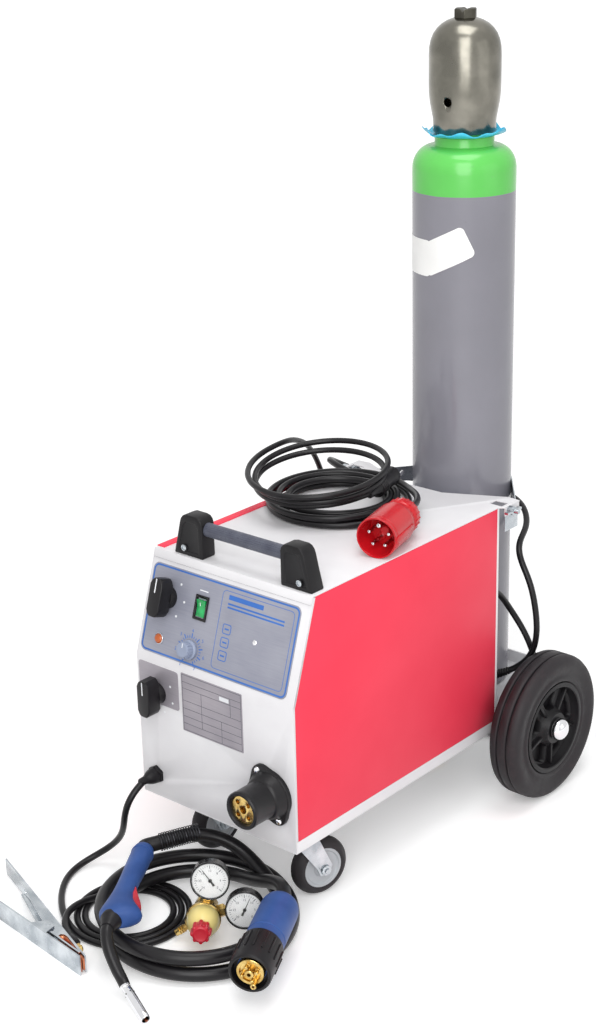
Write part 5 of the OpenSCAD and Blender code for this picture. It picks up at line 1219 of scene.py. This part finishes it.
def helix(line, radius, turns, per_turn=16):
    points, total, side = [], length_of(line), Vector((0, 0, 1))
    steps = [(b - a).length for a, b in zip(line, line[1:])]
    for n in range(turns * per_turn + 1):
        want, k, run = total * n / (turns * per_turn), 0, 0.0
        while k < len(steps) - 1 and run + steps[k] < want:
            run += steps[k]
            k += 1
        base = line[k].lerp(line[k + 1], (want - run) / steps[k])
        t = (line[k + 1] - line[k]).normalized()
        side = (side - t * side.dot(t)).normalized()
        a = 2 * math.pi * n / per_turn
        points.append(base + radius * (math.cos(a) * side + math.sin(a) * t.cross(side)))
    return points


torch_a, torch_b = Vector((-62, -74, 74)), Vector((20, -215, 67.5))
TORCH, torch_long = axis(torch_a, torch_b)
shell = [(-0.2, 10.2), (0.6, 12.4), (3, 13.4), (9, 13.9), (24, 14.1, 14.2), (44, 14, 13.8),
         (64, 13.6, 13.0), (84, 13.3, 12.7), (100, 13.6, 13.4, 0, 0.3), (112, 14.2, 15.4, 0, 1.4),
         (121, 15, 18.6, 0, 3.4), (128, 15.6, 22, 0, 5.6), (134, 16, 24.8, 0, 7.4),
         (139, 16.1, 26.4, 0, 8.4), (143, 15.9, 26.6, 0, 8.4), (146.5, 15.2, 25, 0, 7.4),
         (149.5, 14.2, 21.8, 0, 5.4), (152, 13.4, 18.2, 0, 3), (154.4, 13, 15, 0, 1),
         (155.2, 11, 12)]
handle = ringed("torch_shell", shell, *TORCH, "torch_blue", 64, angle=60)
seam = ringed("shell_ring", [(8.2, 14.2), (8.8, 14.7), (11.6, 14.8), (12.2, 14.3)], *TORCH,
              "torch_blue", 64)
slot_cut = block("trigger_slot", (-4.6, 4, 84), (4.6, 42, 133), "torch_blue", 1.0, *TORCH)
handle = coat(bored(handle, [slot_cut]), "torch_blue", 50)
handle = settle(merged("torch_handle_made", [handle, seam]), "machine", "torch_blue",
                "torch_handle")
print("handle:", round(torch_long), "mm long,", len(handle.data.polygons), "faces")

# %% Trigger
# Its outline is drawn in the plane of the handle, so the plate is turned to stand along it.
key = [(86, 6), (86, 13), (96, 17), (106, 21.5), (116, 26.5), (124, 29.5), (130, 30), (134, 27),
       (134.5, 20), (128, 16), (118, 13.5), (104, 9)]
trigger = plate("trigger_key", key, 8, *HERE, "knob_red", 1.4, -4, 3)
moved(trigger, Matrix(((0, 0, 1, 0), (0, 1, 0, 0), (1, 0, 0, 0), (0, 0, 0, 1))))
trigger.data.flip_normals()
put(trigger, *TORCH)
settle(trigger, "torch_trigger", "knob_red", "torch_trigger")
print("trigger ready")

# %% [markdown]
# The neck is one bent tube, thicker at the nose. The nozzle slips over its end: a turned chromed
# sleeve, open in front, with the copper contact tip inside. A spring of black wire keeps the hose
# from kinking where it enters the handle.

# %% Neck, nozzle and spring
nose = ringed("nose", [(150, 13.6), (155.2, 13.6), (156, 13.2), (162, 11.4), (168, 9.4),
                       (171, 8.2)], *TORCH, "black_nylon", 40)
neck_line = smooth_line([(20, -215, 67.5), (26, -225, 64), (38, -234, 52), (54, -239, 35),
                         (66, -241.5, 25), (74, -244.5, 20.5)], 8)
thick = [1.18 - 0.22 * k / (len(neck_line) - 1) for k in range(len(neck_line))]
neck = tube("neck_tube", neck_line, 14, "black_pvc", 6, thick)
NOZZLE, reach = axis((74, -244.5, 20.5), (126, -262, 6.5))
nozzle = ringed("nozzle", [(-3, 5.6), (-2.6, 6.5), (4, 6.5), (4.6, 5.9), (8, 5.9), (8.6, 6.25),
                           (30, 6.25), (reach - 9, 6.2), (reach - 0.6, 5.9), (reach, 5.5),
                           (reach - 0.5, 4.9), (reach - 24, 5.1), (reach - 24.2, 1)], *NOZZLE,
                "bright_chrome", 40)
# The six gas holes are not cut: black dots stand for them, and their black is painted shade of the
# holes' insides.
hole_angles = [math.degrees(1.05 * k) for k in range(6)]
hole_shade_dots = [ringed("gas_hole_shade_dot", [(0, 1.1), (0.35, 0.9)], around(NOZZLE, 6.1, a, 14),
                   aim_turn(around(NOZZLE, 1, a) - NOZZLE[0]), "gloss_black", 12)
            for a in hole_angles]
contact = ringed("contact_tip", [(20, 2.6), (reach - 8, 2.6), (reach - 5, 1.7), (reach - 4.6, 0.9)],
                 *NOZZLE, "copper", 20)
back = (torch_a - torch_b).normalized()
boot_line = smooth_line([torch_a + 0.3 * back, torch_a + 8 * back, (-57, -52, 76.5),
                         (-40, -18, 78)], 8)
boot = tube("boot", boot_line, 21, "black_nylon", 6,
            [1.0 - 0.12 * k / (len(boot_line) - 1) for k in range(len(boot_line))])
spring_line = smooth_line([(-57, -52, 76.5), (-40, -18, 78), (-33, -3, 77.5)], 10)
spring = tube("kink_spring", helix(spring_line, 11.2, 16), 1.5, "black_wire", 2)
settle(merged("torch_neck_made", [nose, neck, nozzle, contact, boot, spring] + hole_shade_dots), "machine",
       "black_plastic", "torch_neck")
print("neck ready")

# %% [markdown]
# ## Torch plug
# The central plug has a blue grip sleeve, a black collar nut with ribs for the fingers, and a brass
# face: a wide contact ring, a centre tube for the wire, and small spring pins for the trigger.

# %% Sleeve and brass face
PLUG, end = axis((146, -42, 63), (211, -175, 59))
sleeve = ringed("sleeve", [(-1, 10.4), (0, 12.6), (2, 16), (5, 19.6), (9, 22.4), (14, 23.8),
                           (20, 24.3), (60, 24.5), (78, 24.5), (79, 23.9), (81, 23.9), (82, 24.5),
                           (90.6, 24.5), (91.8, 23.6), (91.8, 17.9), (end - 12, 17.9)], *PLUG,
                "torch_blue", 72, angle=30)
face = [ringed("contact_ring", [(end - 30, 17), (end - 3.6, 17), (end - 3, 16.4), (end - 3, 13.2),
                                (end - 6, 12.6), (end - 6, 6.4), (end - 3.6, 6.0), (end + 1.4, 5.4),
                                (end + 2, 4.8), (end + 2, 2.4), (end - 8, 2.2)],
               *PLUG, "turned_brass", 56)]
face += [ringed("pin", [(0, 3.3), (4.6, 3.3), (4.8, 2.2), (10.4, 2.2), (11, 1.6)],
                around(PLUG, 9.6, 20 + 90 * k, end - 8), PLUG[1], "turned_brass", 20)
         for k in range(4)]
face.append(ringed("gas_pin", [(0, 3.6), (13.2, 3.6), (14, 2.9), (13.4, 1.6), (6, 1.4)],
                   beside(PLUG, 13.4, 5.5, end - 8), PLUG[1], "turned_brass", 24))
sleeve_made = settle(merged("plug_sleeve_made", [sleeve] + face), "machine", "torch_blue",
                     "plug_sleeve")

# %% Collar nut
collar = ringed("collar", [(92.4, 18), (92.6, 25), (93.6, 26.3), (96, 26.5), (end - 4, 26.5),
                           (end - 1, 25.6), (end, 24), (end - 0.6, 22.2), (end - 12, 21.9),
                           (end - 12.2, 18), (92.4, 18)], *PLUG, "black_nylon", 72, True)
ribs = [block("collar_rib", (25.6, -1.3, 98), (28, 1.3, 128), "black_nylon", 0.8, PLUG[0],
              PLUG[1] @ turned(22.5 * k)) for k in range(16)]
collar_made = settle(merged("plug_collar_made", [collar] + ribs), "plug_collar", "black_plastic",
                     "plug_collar")
print("plug ready")

# %% [markdown]
# ## Pressure regulator
# A brass body carries two gauges, a side outlet and a spring bonnet with a red screw. Everything on
# it is turned, so every piece is a stack of rings on its own axis.

# %% Regulator body
REG = (Vector((65, -100, 34.6)), turned(-50) @ turned(78, "Y"))
body = [ringed("reg_barrel", [(-34, 13.4), (-33, 15), (-7, 15), (-6, 20.6), (-5, 22), (1, 22),
                              (2, 20.6)], *REG, "turned_brass", 56),
        ringed("reg_bonnet", [(1.8, 20.4), (2.4, 20.8), (6, 20.6), (12, 19.8), (19, 18), (25, 14.6),
                              (28.6, 12.2), (30.6, 9.4), (31, 4), (31, 3.2), (24, 3.1)],
               *REG, "bonnet_lacquer", 56),
        ringed("reg_stem", [(-45, 8), (-32, 8)], *REG, "turned_brass", 32),
        ringed("reg_nut", [(-60, 13.8), (-59, 15), (-43.4, 15), (-42.2, 13.6), (-42.2, 8)],
               *REG, "turned_brass", 6, angle=20)]
nut_bore = ringed("nut_bore", [(-61, 10.9), (-46, 10.9)], *REG, "turned_brass", 32)
body[3] = bored(body[3], [nut_bore])
GAUGE_ANGLES, OUTLET_ANGLE = (169, 106), 302
OUTWARD = {a: REG[1] @ turned(a) @ ALONG_X for a in (*GAUGE_ANGLES, OUTLET_ANGLE)}
for a in GAUGE_ANGLES:
    start = around(REG, 12, a, -14)
    body += [ringed("gauge_stem", [(0, 5.5), (6, 5.5)], start, OUTWARD[a], "turned_brass", 28),
             ringed("gauge_nut", [(5, 7.4), (6, 8.4), (15, 8.4), (16, 7.4), (16, 5.4), (23, 5.4)],
                    start, OUTWARD[a], "turned_brass", 6, angle=20)]
body.append(ringed("outlet", [(0, 7), (3, 7), (3.4, 8.6), (11, 8.6), (12, 7.6), (12.4, 4.2),
                              (17, 4.2), (17.4, 5.4), (20.4, 4.4), (20.6, 5.4), (23.6, 4.4),
                              (23.8, 5.4), (26.8, 4.4), (30, 4.2), (29.8, 2.6), (14, 2.4)],
                   around(REG, 12, OUTLET_ANGLE, -14), OUTWARD[OUTLET_ANGLE], "turned_brass", 32))
settle(merged("regulator_made", body), "machine", "brass", "regulator_body")
print("regulator ready")

# %% Red adjusting screw
core = ringed("screw_core", [(31.4, 9.4), (32, 10.8), (36, 11.6), (48, 11), (50.2, 10), (51.2, 8),
                             (50.6, 5.4), (50.4, 2)], *REG, "knob_red", 48)
lobes = [ringed("lobe", [(32.4, 2.2), (33.2, 2.9), (47, 2.8), (49.4, 2.2), (50, 1.2)],
                around(REG, 10.2, 45 * k), REG[1], "knob_red", 20) for k in range(8)]
stem = ringed("screw_stem", [(13, 2.6), (13.4, 3), (33, 3)], *REG, "turned_brass", 20)
settle(merged("regulator_screw_made", [core, stem] + lobes), "regulator_screw", "knob_red",
       "regulator_knob")
print("screw ready")

# %% [markdown]
# Each gauge is a black pressed case with a rolled rim, a white dial with printed ticks and plain
# numbers, a needle on a brass boss, and a clear window that keeps dust out.

# %% Gauges
GAUGE_REACH, figure_radius = 54, 12.6
GAUGES = [(on_circle((0, 0), GAUGE_REACH, math.radians(a)), step)
          for a, step in zip(GAUGE_ANGLES, (4, 5))]
cases = []
for middle, step in GAUGES:
    place = (beside(REG, *middle), REG[1])
    cases += [ringed("case", [(-9, 20.5), (-8, 23.2), (-6, 24.2), (7.6, 24.2), (8.2, 24.5),
                              (10.2, 24.4), (11, 23.6), (10.9, 22.6), (8.4, 22.2), (6.6, 22.1),
                              (6.4, 21.6)], *place, "gloss_black", 72),
              ringed("dial", [(6.6, 22.3), (8.05, 22.3), (8.1, 22.1)], *place, "dial_white", 72)]
    for k in range(31):
        big = k % 5 == 0
        tick = radial(middle, math.radians(45 + 9 * k), 15.4 if big else 17.4, 19.4,
                      0.42 if big else 0.22)
        cases.append(plate("dial_tick", tick, 0.1, *REG, "print_dark", 0, 8.1))
    for k in range(7):
        spot = on_circle(middle, figure_radius, math.radians(45 + 45 * k))
        cases.append(printed_number("dial_digit", k * step, 4.2, 0.04, spot, 8.14, *REG,
                                    "print_dark", turned(90)))
settle(merged("gauges_made", cases), "machine", "black_plastic", "gauges")

windows = [ringed("window", [(10.25, 22.5), (10.6, 22.5), (10.7, 21)], beside(REG, *middle),
                  REG[1], "gauge_glass", 48) for middle, step in GAUGES]
settle(merged("gauge_windows", windows), "machine", "black_plastic")

for (middle, step), name, angle in zip(GAUGES, ("needle_high", "needle_low"), (125, 65)):
    place = beside(REG, *middle)
    hand = plate(name + "_hand", [(-1.5, -8), (1.5, -8), (1.0, -2), (0.55, 2), (0.28, 16.4),
                                  (-0.28, 16.4), (-0.55, 2), (-1.0, -2)], 0.45, place,
                 REG[1] @ turned(angle), "needle_black", 0, 8.75)
    boss = ringed(name + "_boss", [(5.5, 0.9), (8.4, 1), (8.6, 2.3), (9.5, 2.2), (9.8, 1.2)], place,
                  REG[1], "needle_black", 20)
    settle(merged(name + "_made", [hand, boss]), name, "black_plastic", name)
print("gauges ready")

# %% [markdown]
# ## Earth clamp
# Two folded arms of zinc-plated sheet turn on one rivet; a coiled spring shuts them. Copper shoes
# line the jaws, a copper band joins them and shows through a window in the arm's cheek, and the
# cable's lug sits under a brass bolt. The solids have these shapes: their copies are dressed, and
# each finish is put on the faces that stand where its own part is.

# %% Clamp


def clamp_local(point):
    p = Vector(point) * 1000 + ORIGIN - CLAMP_TIP
    return Vector((p.x * turn_cos + p.y * turn_sin, -p.x * turn_sin + p.y * turn_cos, p.z))


def paint_faces(piece, rules):
    for number, (name, test) in enumerate(rules, 1):
        piece.data.materials.append(FINISH[name])
        for face in piece.data.polygons:
            if test(clamp_local(face.center)):
                face.material_index = number


upper = dressed("clamp_upper", "zinc_plate", 0.35, name="clamp_upper_made")
paint_faces(upper, [
    ("copper", lambda p: p.x < 35.2 and p.y > 1.9 and 6 < p.z < 22),
    ("turned_brass", lambda p: 24 < p.x < 42.5 and p.y < -2.02 and 5 < p.z < 23),
    ("black_pvc", lambda p: 43 < p.x < 64 and p.y < -0.5 and 5 < p.z < 24)])
lower = dressed("clamp_lower", "zinc_plate", 0.35, name="clamp_lower_made")
paint_faces(lower, [
    ("copper", lambda p: p.x < 36.5 and p.y < 8.9 + 0.2309 * p.x - 2.1 and 3.6 < p.z < 24.4)])
window = [(17, 3.4), (32, 3), (50, 3), (56, 4.4), (59.4, 8), (58, 11.6), (53, 11.4), (38, 8.4),
          (24, 5.4)]
middle = Vector((44, 6.4))
outer, inner = [[middle + (Vector(p) - middle) * scale for p in window] for scale in (1.06, 0.88)]
upper = bored(upper, [plate("window_cut", window, 6, clamp_at(0, 0, 21.5), CLAMP, "zinc_plate")])
smooth(upper, 32)
band = bored(plate("copper_band", outer, 17.2, clamp_at(0, 0, 6.2), CLAMP, "copper"),
             [plate("band_cut", inner, 12, clamp_at(0, 0, 13), CLAMP, "copper")])
settle(band, "clamp_jaw", "zinc")
rivet_x, rivet_y = 85, 14
spring_turns = [(2 * math.pi * k / 14, 6 + 16 * k / 98) for k in range(99)]
coils = tube("clamp_spring", [clamp_at(rivet_x + 5.4 * math.cos(a), rivet_y + 5.4 * math.sin(a), z)
                              for a, z in spring_turns], 1.8, "spring_steel", 2)
rivet = ringed("rivet", [(0, 4.8), (0.8, 4.6), (1.8, 3.2), (2.2, 1)],
               clamp_at(rivet_x, rivet_y, 25.75), FLAT, "zinc_plate", 24)
settle(merged("clamp_spring_made", [coils, rivet]), "machine", "zinc")
print("clamp ready")

# %% [markdown]
# ## Mains plug
# The five-pole plug is moulded in red: a wide shroud with a rounded lip, five nickel pins inside
# it, a waist with finger ribs and a screw collar where the cable enters.

# %% Five-pole plug
CEE, far = axis((88, 290, 465.8), (118, 182, 465.8))
hull = ringed("cee_hull", [(-1, 6.2), (0, 9.4), (2, 10.4), (10, 12), (15, 13.2), (18, 17),
                           (20, 22.2), (22, 23.2), (32, 23.5), (34.4, 22.9), (36, 21.6), (43, 21.5),
                           (45.4, 22.6), (48, 25.4), (50.4, 26.8), (54, 27), (far - 9, 27),
                           (far - 8.4, 26.4), (far - 7, 26.4), (far - 6.4, 27), (far - 1, 27),
                           (far, 26.2), (far - 0.3, 25), (far - 2, 24.5), (far - 39, 24.3),
                           (far - 40, 23.6)], *CEE, "plug_red", 80)
extra = [block("cee_key", (-4, 26, 54), (4, 28.6, far - 1), "plug_red", 0.8, *CEE),
         ringed("cee_centre", [(far - 41, 6.5), (far - 30, 6.2), (far - 28.6, 5.4)], *CEE,
                "plug_red", 32)]
extra += [block("cee_rib", (22.6, -0.9, 21.5), (24.1, 0.9, 33.5), "plug_red", 0.4, CEE[0],
                CEE[1] @ turned(18 * k)) for k in range(20)]
for k, r in enumerate((2.7, 2.7, 3.4, 2.7, 2.7)):
    spot = around(CEE, 14, 36 + 72 * k, far - 41)
    extra += [ringed("cee_foot", [(0, r + 2.4), (3, r + 2.2), (3.6, r + 1.4)], spot, CEE[1],
                     "plug_red", 24),
              ringed("cee_pin", [(1, r), (31, r), (32.6, r - 0.8), (33, r - 1.8)], spot, CEE[1],
                     "bright_chrome", 24)]
cee = settle(merged("cee_plug_made", [hull] + extra), "machine", "plug_red", "cee_plug")
print("five-pole plug faces:", len(cee.data.polygons))

# %% [markdown]
# The two-pin plug is a black rubber body that swells towards its face, with grip ribs, two round
# pins and an earth spring on its side.

# %% Two-pin plug
SCHUKO, far = axis((22, 296, 473), (-1, 366, 473))
parts = [ringed("schuko_body", [(-12, 4.2), (-8, 4.8), (0, 5.8), (4, 7), (9, 8.4), (14, 10.4),
                                (18, 11), (far - 22, 11.2), (far - 14, 12), (far - 9, 12.8),
                                (far - 7, 13), (far - 0.8, 13), (far, 12.4)], *SCHUKO, "black_abs",
                48)]
parts += [ringed("schuko_ring", [(z, 11), (z + 0.6, 11.9), (z + 2.4, 11.9), (z + 3, 11)], *SCHUKO,
                 "black_abs", 48) for z in (14, 19, 24, 29)]
parts += [ringed("schuko_pin", [(-1, 2.4), (17.4, 2.4), (19, 1.3)], beside(SCHUKO, 0, y, far),
                 SCHUKO[1], "bright_chrome", 24) for y in (-9.5, 9.5)]
schuko = settle(merged("schuko_plug_made", parts), "machine", "black_plastic", "schuko_plug")
print("two-pin plug ready")

# %% [markdown]
# ## Torch socket
# A black flange with two ears and bright screws, a stepped body, and the brass core with its bores.
# The flange's outline is a circle with two lobes, drawn point by point; the body is turned.

# %% Socket
SOCKET = ((95, 0, 178), ON_FRONT)
EARS = math.radians(119)
lobe = []
for k in range(96):
    a = math.radians(3.75 * k)
    r = 33.5 + 7.5 * max(0, math.cos(2 * (a - EARS))) ** 3
    lobe.append((r * math.cos(a), r * math.sin(a)))
flange = plate("socket_flange", lobe, 7, *SOCKET, "black_abs", 1.3, 0, 3)
throat = ringed("socket_body", [(-9, 19.9), (2, 19.9), (6.4, 33), (7, 31.8), (9, 31), (17, 27.4),
                                (19, 26.8), (20.4, 25.2), (21, 24.6), (50, 24.4), (51, 24.9),
                                (55.4, 24.8), (57, 23.4), (56.6, 20.4), (55, 19.4), (52, 18.7),
                                (-9, 18.7), (-9, 19.9)], *SOCKET, "black_abs", 80, True)
studs = [ringed("socket_screw", [(6.8, 4.4), (7.6, 4.4), (9.2, 3.4), (9.8, 1.8)], (SOCKET[0][0]
                                                                                   + 34.5
                                                                                   * math.cos(a), 0,
                                                                                   SOCKET[0][2]
                                                                                   + 34.5
                                                                                   * math.sin(a)),
                ON_FRONT, "bright_chrome", 24) for a in (EARS, EARS + math.pi)]
settle(merged("torch_socket_made", [flange, throat] + studs), "machine", "black_plastic",
       "euro_socket")
core = dressed("euro_core", "turned_brass", 0.5, name="socket_core_made")
print("socket ready")

# %% [markdown]
# ## Casters
# A pressed zinc fork turns on a ball race under the pan. The wheel has a black tread on a pale hub
# with a raised ring, and a bolt goes through the fork.

# %% Caster wheels


PIVOT_X, PIVOT_Y, TRAIL, AXLE_HEIGHT = 88, 48, 35, 40


def caster_wheel(side, angle, name):
    pivot = (Vector((side * PIVOT_X, PIVOT_Y, 0)), turned(angle))
    place = (beside(pivot, -13, TRAIL, AXLE_HEIGHT), turned(angle) @ ALONG_X)
    tread = [(1.6, 27.5), (1.2, 29), (0.8, 31), (1.6, 33), (3.2, 35), (5.4, 37.6), (8, 39.2),
             (11, 39.9)]
    face = [(0, 4.1), (0, 11), (0.8, 12), (3.4, 13), (4, 16), (4, 22.4), (3.2, 23.4), (1.4, 24.4),
            (1.2, 26.8), (2, 27.8)]
    pieces = [ringed(name + "_tread", both_sides(tread, 26), *place, "tyre_rubber", 64, True, 45),
              ringed(name + "_hub", both_sides(face, 26), *place, "caster_hub", 56, True, 30)]
    settle(merged(name + "_made", pieces), name, "tyre", name)


def caster_fork(side, angle, body, name):
    dressed(name, "zinc_plate", 0.6, name=name + "_made")
    pivot, spin = Vector((side * PIVOT_X, PIVOT_Y, 0)), turned(angle)
    pieces = [ringed(name + "_race", [(87, 21), (88.2, 25.6), (90, 26.4), (94, 26.4), (96.5, 25.4),
                                      (98.4, 23.6), (100.6, 23.4)], pivot, FLAT, "zinc_plate", 48)]
    for s in (-1, 1):
        spot = beside((pivot, spin), s * 16.5, TRAIL, AXLE_HEIGHT)
        pieces.append(ringed(name + "_nut", [(0, 7.4), (4, 7.4), (4.8, 6.4), (4.8, 4), (6.6, 3.6)],
                             spot, spin @ turned(90 * s, "Y"), "zinc_plate", 6, angle=20))
    settle(merged(name + "_race_made", pieces), body, "zinc")


CASTERS = ((1, -17, "right"), (-1, -8, "left"))
for side, angle, hand in CASTERS:
    caster_wheel(side, angle, "caster_wheel_" + hand)
for side, angle, hand in CASTERS:
    caster_fork(side, angle, "caster_" + hand, "caster_fork_" + hand)
print("casters ready")

# %% [markdown]
# ## Nut of the gas hose
# A brass ferrule is crimped on the hose; a six-sided nut turns on it and draws the cone of the
# nipple into its seat. The profile is turned, and the nut is a hexagon with its corners rounded
# off.

# %% Gas nut
NUT = axis((-5, 445.6, 8), (19, 449.9, 8))[0]
ferrule = ringed("gas_ferrule", [(-0.4, 4.6), (0, 5.9), (0.6, 6.2), (2, 6.2), (2.5, 5.8),
                                 (3.2, 5.8), (3.7, 6.2), (5, 6.2), (5.5, 5.8), (6.2, 5.8),
                                 (6.7, 6.2), (9, 6.2), (19, 5.6), (20, 4.4), (24, 3.4), (24.4, 2.6),
                                 (24, 1.8), (18, 1.8)], *NUT, "turned_brass", 40)
hexagon = round_edges(ringed("gas_hexagon",
                             [(8, 5), (8, 8.2), (8.8, 9), (18.2, 9), (19, 8.2), (19, 5)], *NUT,
                             "turned_brass", 6, start=math.radians(30), angle=20), 0.4)
gas_nut = coat(merged("gas_nut_made", [ferrule, hexagon]), "turned_brass", 30)
settle(gas_nut, "machine", "brass", "gas_nut")
print("gas nut:", [round(c, 3) for c in gas_nut.dimensions])

# %% [markdown]
# ## Sleeves behind the glands
# A rubber sleeve keeps a mains lead from kinking where it leaves its gland. It narrows towards the
# cable, and grooves round it let it bend evenly. It is a tube along the lead's own line.

# %% Sleeves
sleeves = []
for name, line, thick, thin in (("mains_sleeve", mains_line, 7.4, 5.2),
                                ("second_sleeve", aux_line, 6.6, 4.7)):
    part = evenly(line, 1.0)[18:54]
    sizes = [thick + (thin - thick) * k / 35 - (0.8 if k % 4 == 2 else 0) for k in range(36)]
    sleeves.append(tube(name, part, 2, "black_nylon", 4, sizes))
settle(merged("lead_sleeves", sleeves), "machine", "black_plastic")
print("sleeves:", len(sleeves))

# %% [markdown]

# %% [markdown]
# ## Floor and light
# The object stands on a plain white floor under broad soft light: a white sky, one tall panel in
# front at the right, which draws an upright light line on the cap and the cylinder, and weaker ones
# above and at the right. The floor is seen white, and gives back a little less than it gets, so
# that its light does not wash out the undersides. It glows more with distance, where no panel
# reaches.

# %% Floor
def seen_directly(tree):
    path = add(tree, "ShaderNodeLightPath").outputs
    seen = path["Is Camera Ray"]
    for kind in ("Is Glossy Ray", "Is Transmission Ray"):
        seen = add(tree, "ShaderNodeMath", {0: seen, 1: path[kind]}, operation="MAXIMUM").outputs[0]
    return seen


clear()
bpy.ops.mesh.primitive_grid_add(x_subdivisions=4, y_subdivisions=4, size=24, location=(0, 0, 0))
floor = begin("floor")
made, tree, surface, place = new_finish("floor_paint", Roughness=0.9, Specular_IOR_Level=0.1)
seen = seen_directly(tree)
speck = ramp(tree, noise(tree, place, 3.0), [(0.3, "#fafafa"), (0.7, "#ffffff")])
floor_mix = add(tree, "ShaderNodeMix", {"Factor": seen, 6: hexa("#d2d2d2"), 7: speck},
                data_type="RGBA")
tree.links.new(floor_mix.outputs[2], surface.inputs["Base Color"])
surface.inputs["Emission Color"].default_value = (1, 1, 1, 1)
far_away = add(tree, "ShaderNodeVectorMath", {0: place}, operation="LENGTH").outputs["Value"]
far_away = add(tree, "ShaderNodeMapRange", {"Value": far_away, "From Min": 0.8, "From Max": 3.2,
                                            "To Min": 0.2, "To Max": 0.62}).outputs[0]
glow = add(tree, "ShaderNodeMath", {0: seen, 1: far_away}, operation="MULTIPLY").outputs[0]
tree.links.new(glow, surface.inputs["Emission Strength"])
floor.data.materials.append(made)

# %% Sky and lamp
bpy.context.scene.view_settings.view_transform = "Standard"
world = bpy.data.worlds.new("white_room")
bpy.context.scene.world = world
world.use_nodes = True
tree = world.node_tree
level = add(tree, "ShaderNodeMix", {"Factor": seen_directly(tree), 2: 0.55, 3: 1.0},
            data_type="FLOAT")
tree.links.new(level.outputs[0], tree.nodes["Background"].inputs["Strength"])
tree.nodes["Background"].inputs["Color"].default_value = (1, 1, 1, 1)


def lamp(name, place, target, size, power, tall):
    data = bpy.data.lights.new(name, "AREA")
    data.shape = "RECTANGLE"
    data.size = size
    data.size_y = tall
    data.energy = power
    made = bpy.data.objects.new(name, data)
    bpy.context.scene.collection.objects.link(made)
    made.location = place
    made.rotation_euler = (Vector(target) - Vector(place)).to_track_quat("-Z", "Y").to_euler()


lamp("soft_panel", (1.6, -1.95, 2.0), (0, 0, 0.9), 1.7, 64, 3.0)
lamp("top_panel", (0.25, 0.1, 2.7), (0, 0, 0.4), 1.2, 19, 1.2)
lamp("fill_panel", (2.6, 0.6, 1.3), (0, 0, 0.45), 1.8, 5, 1.8)
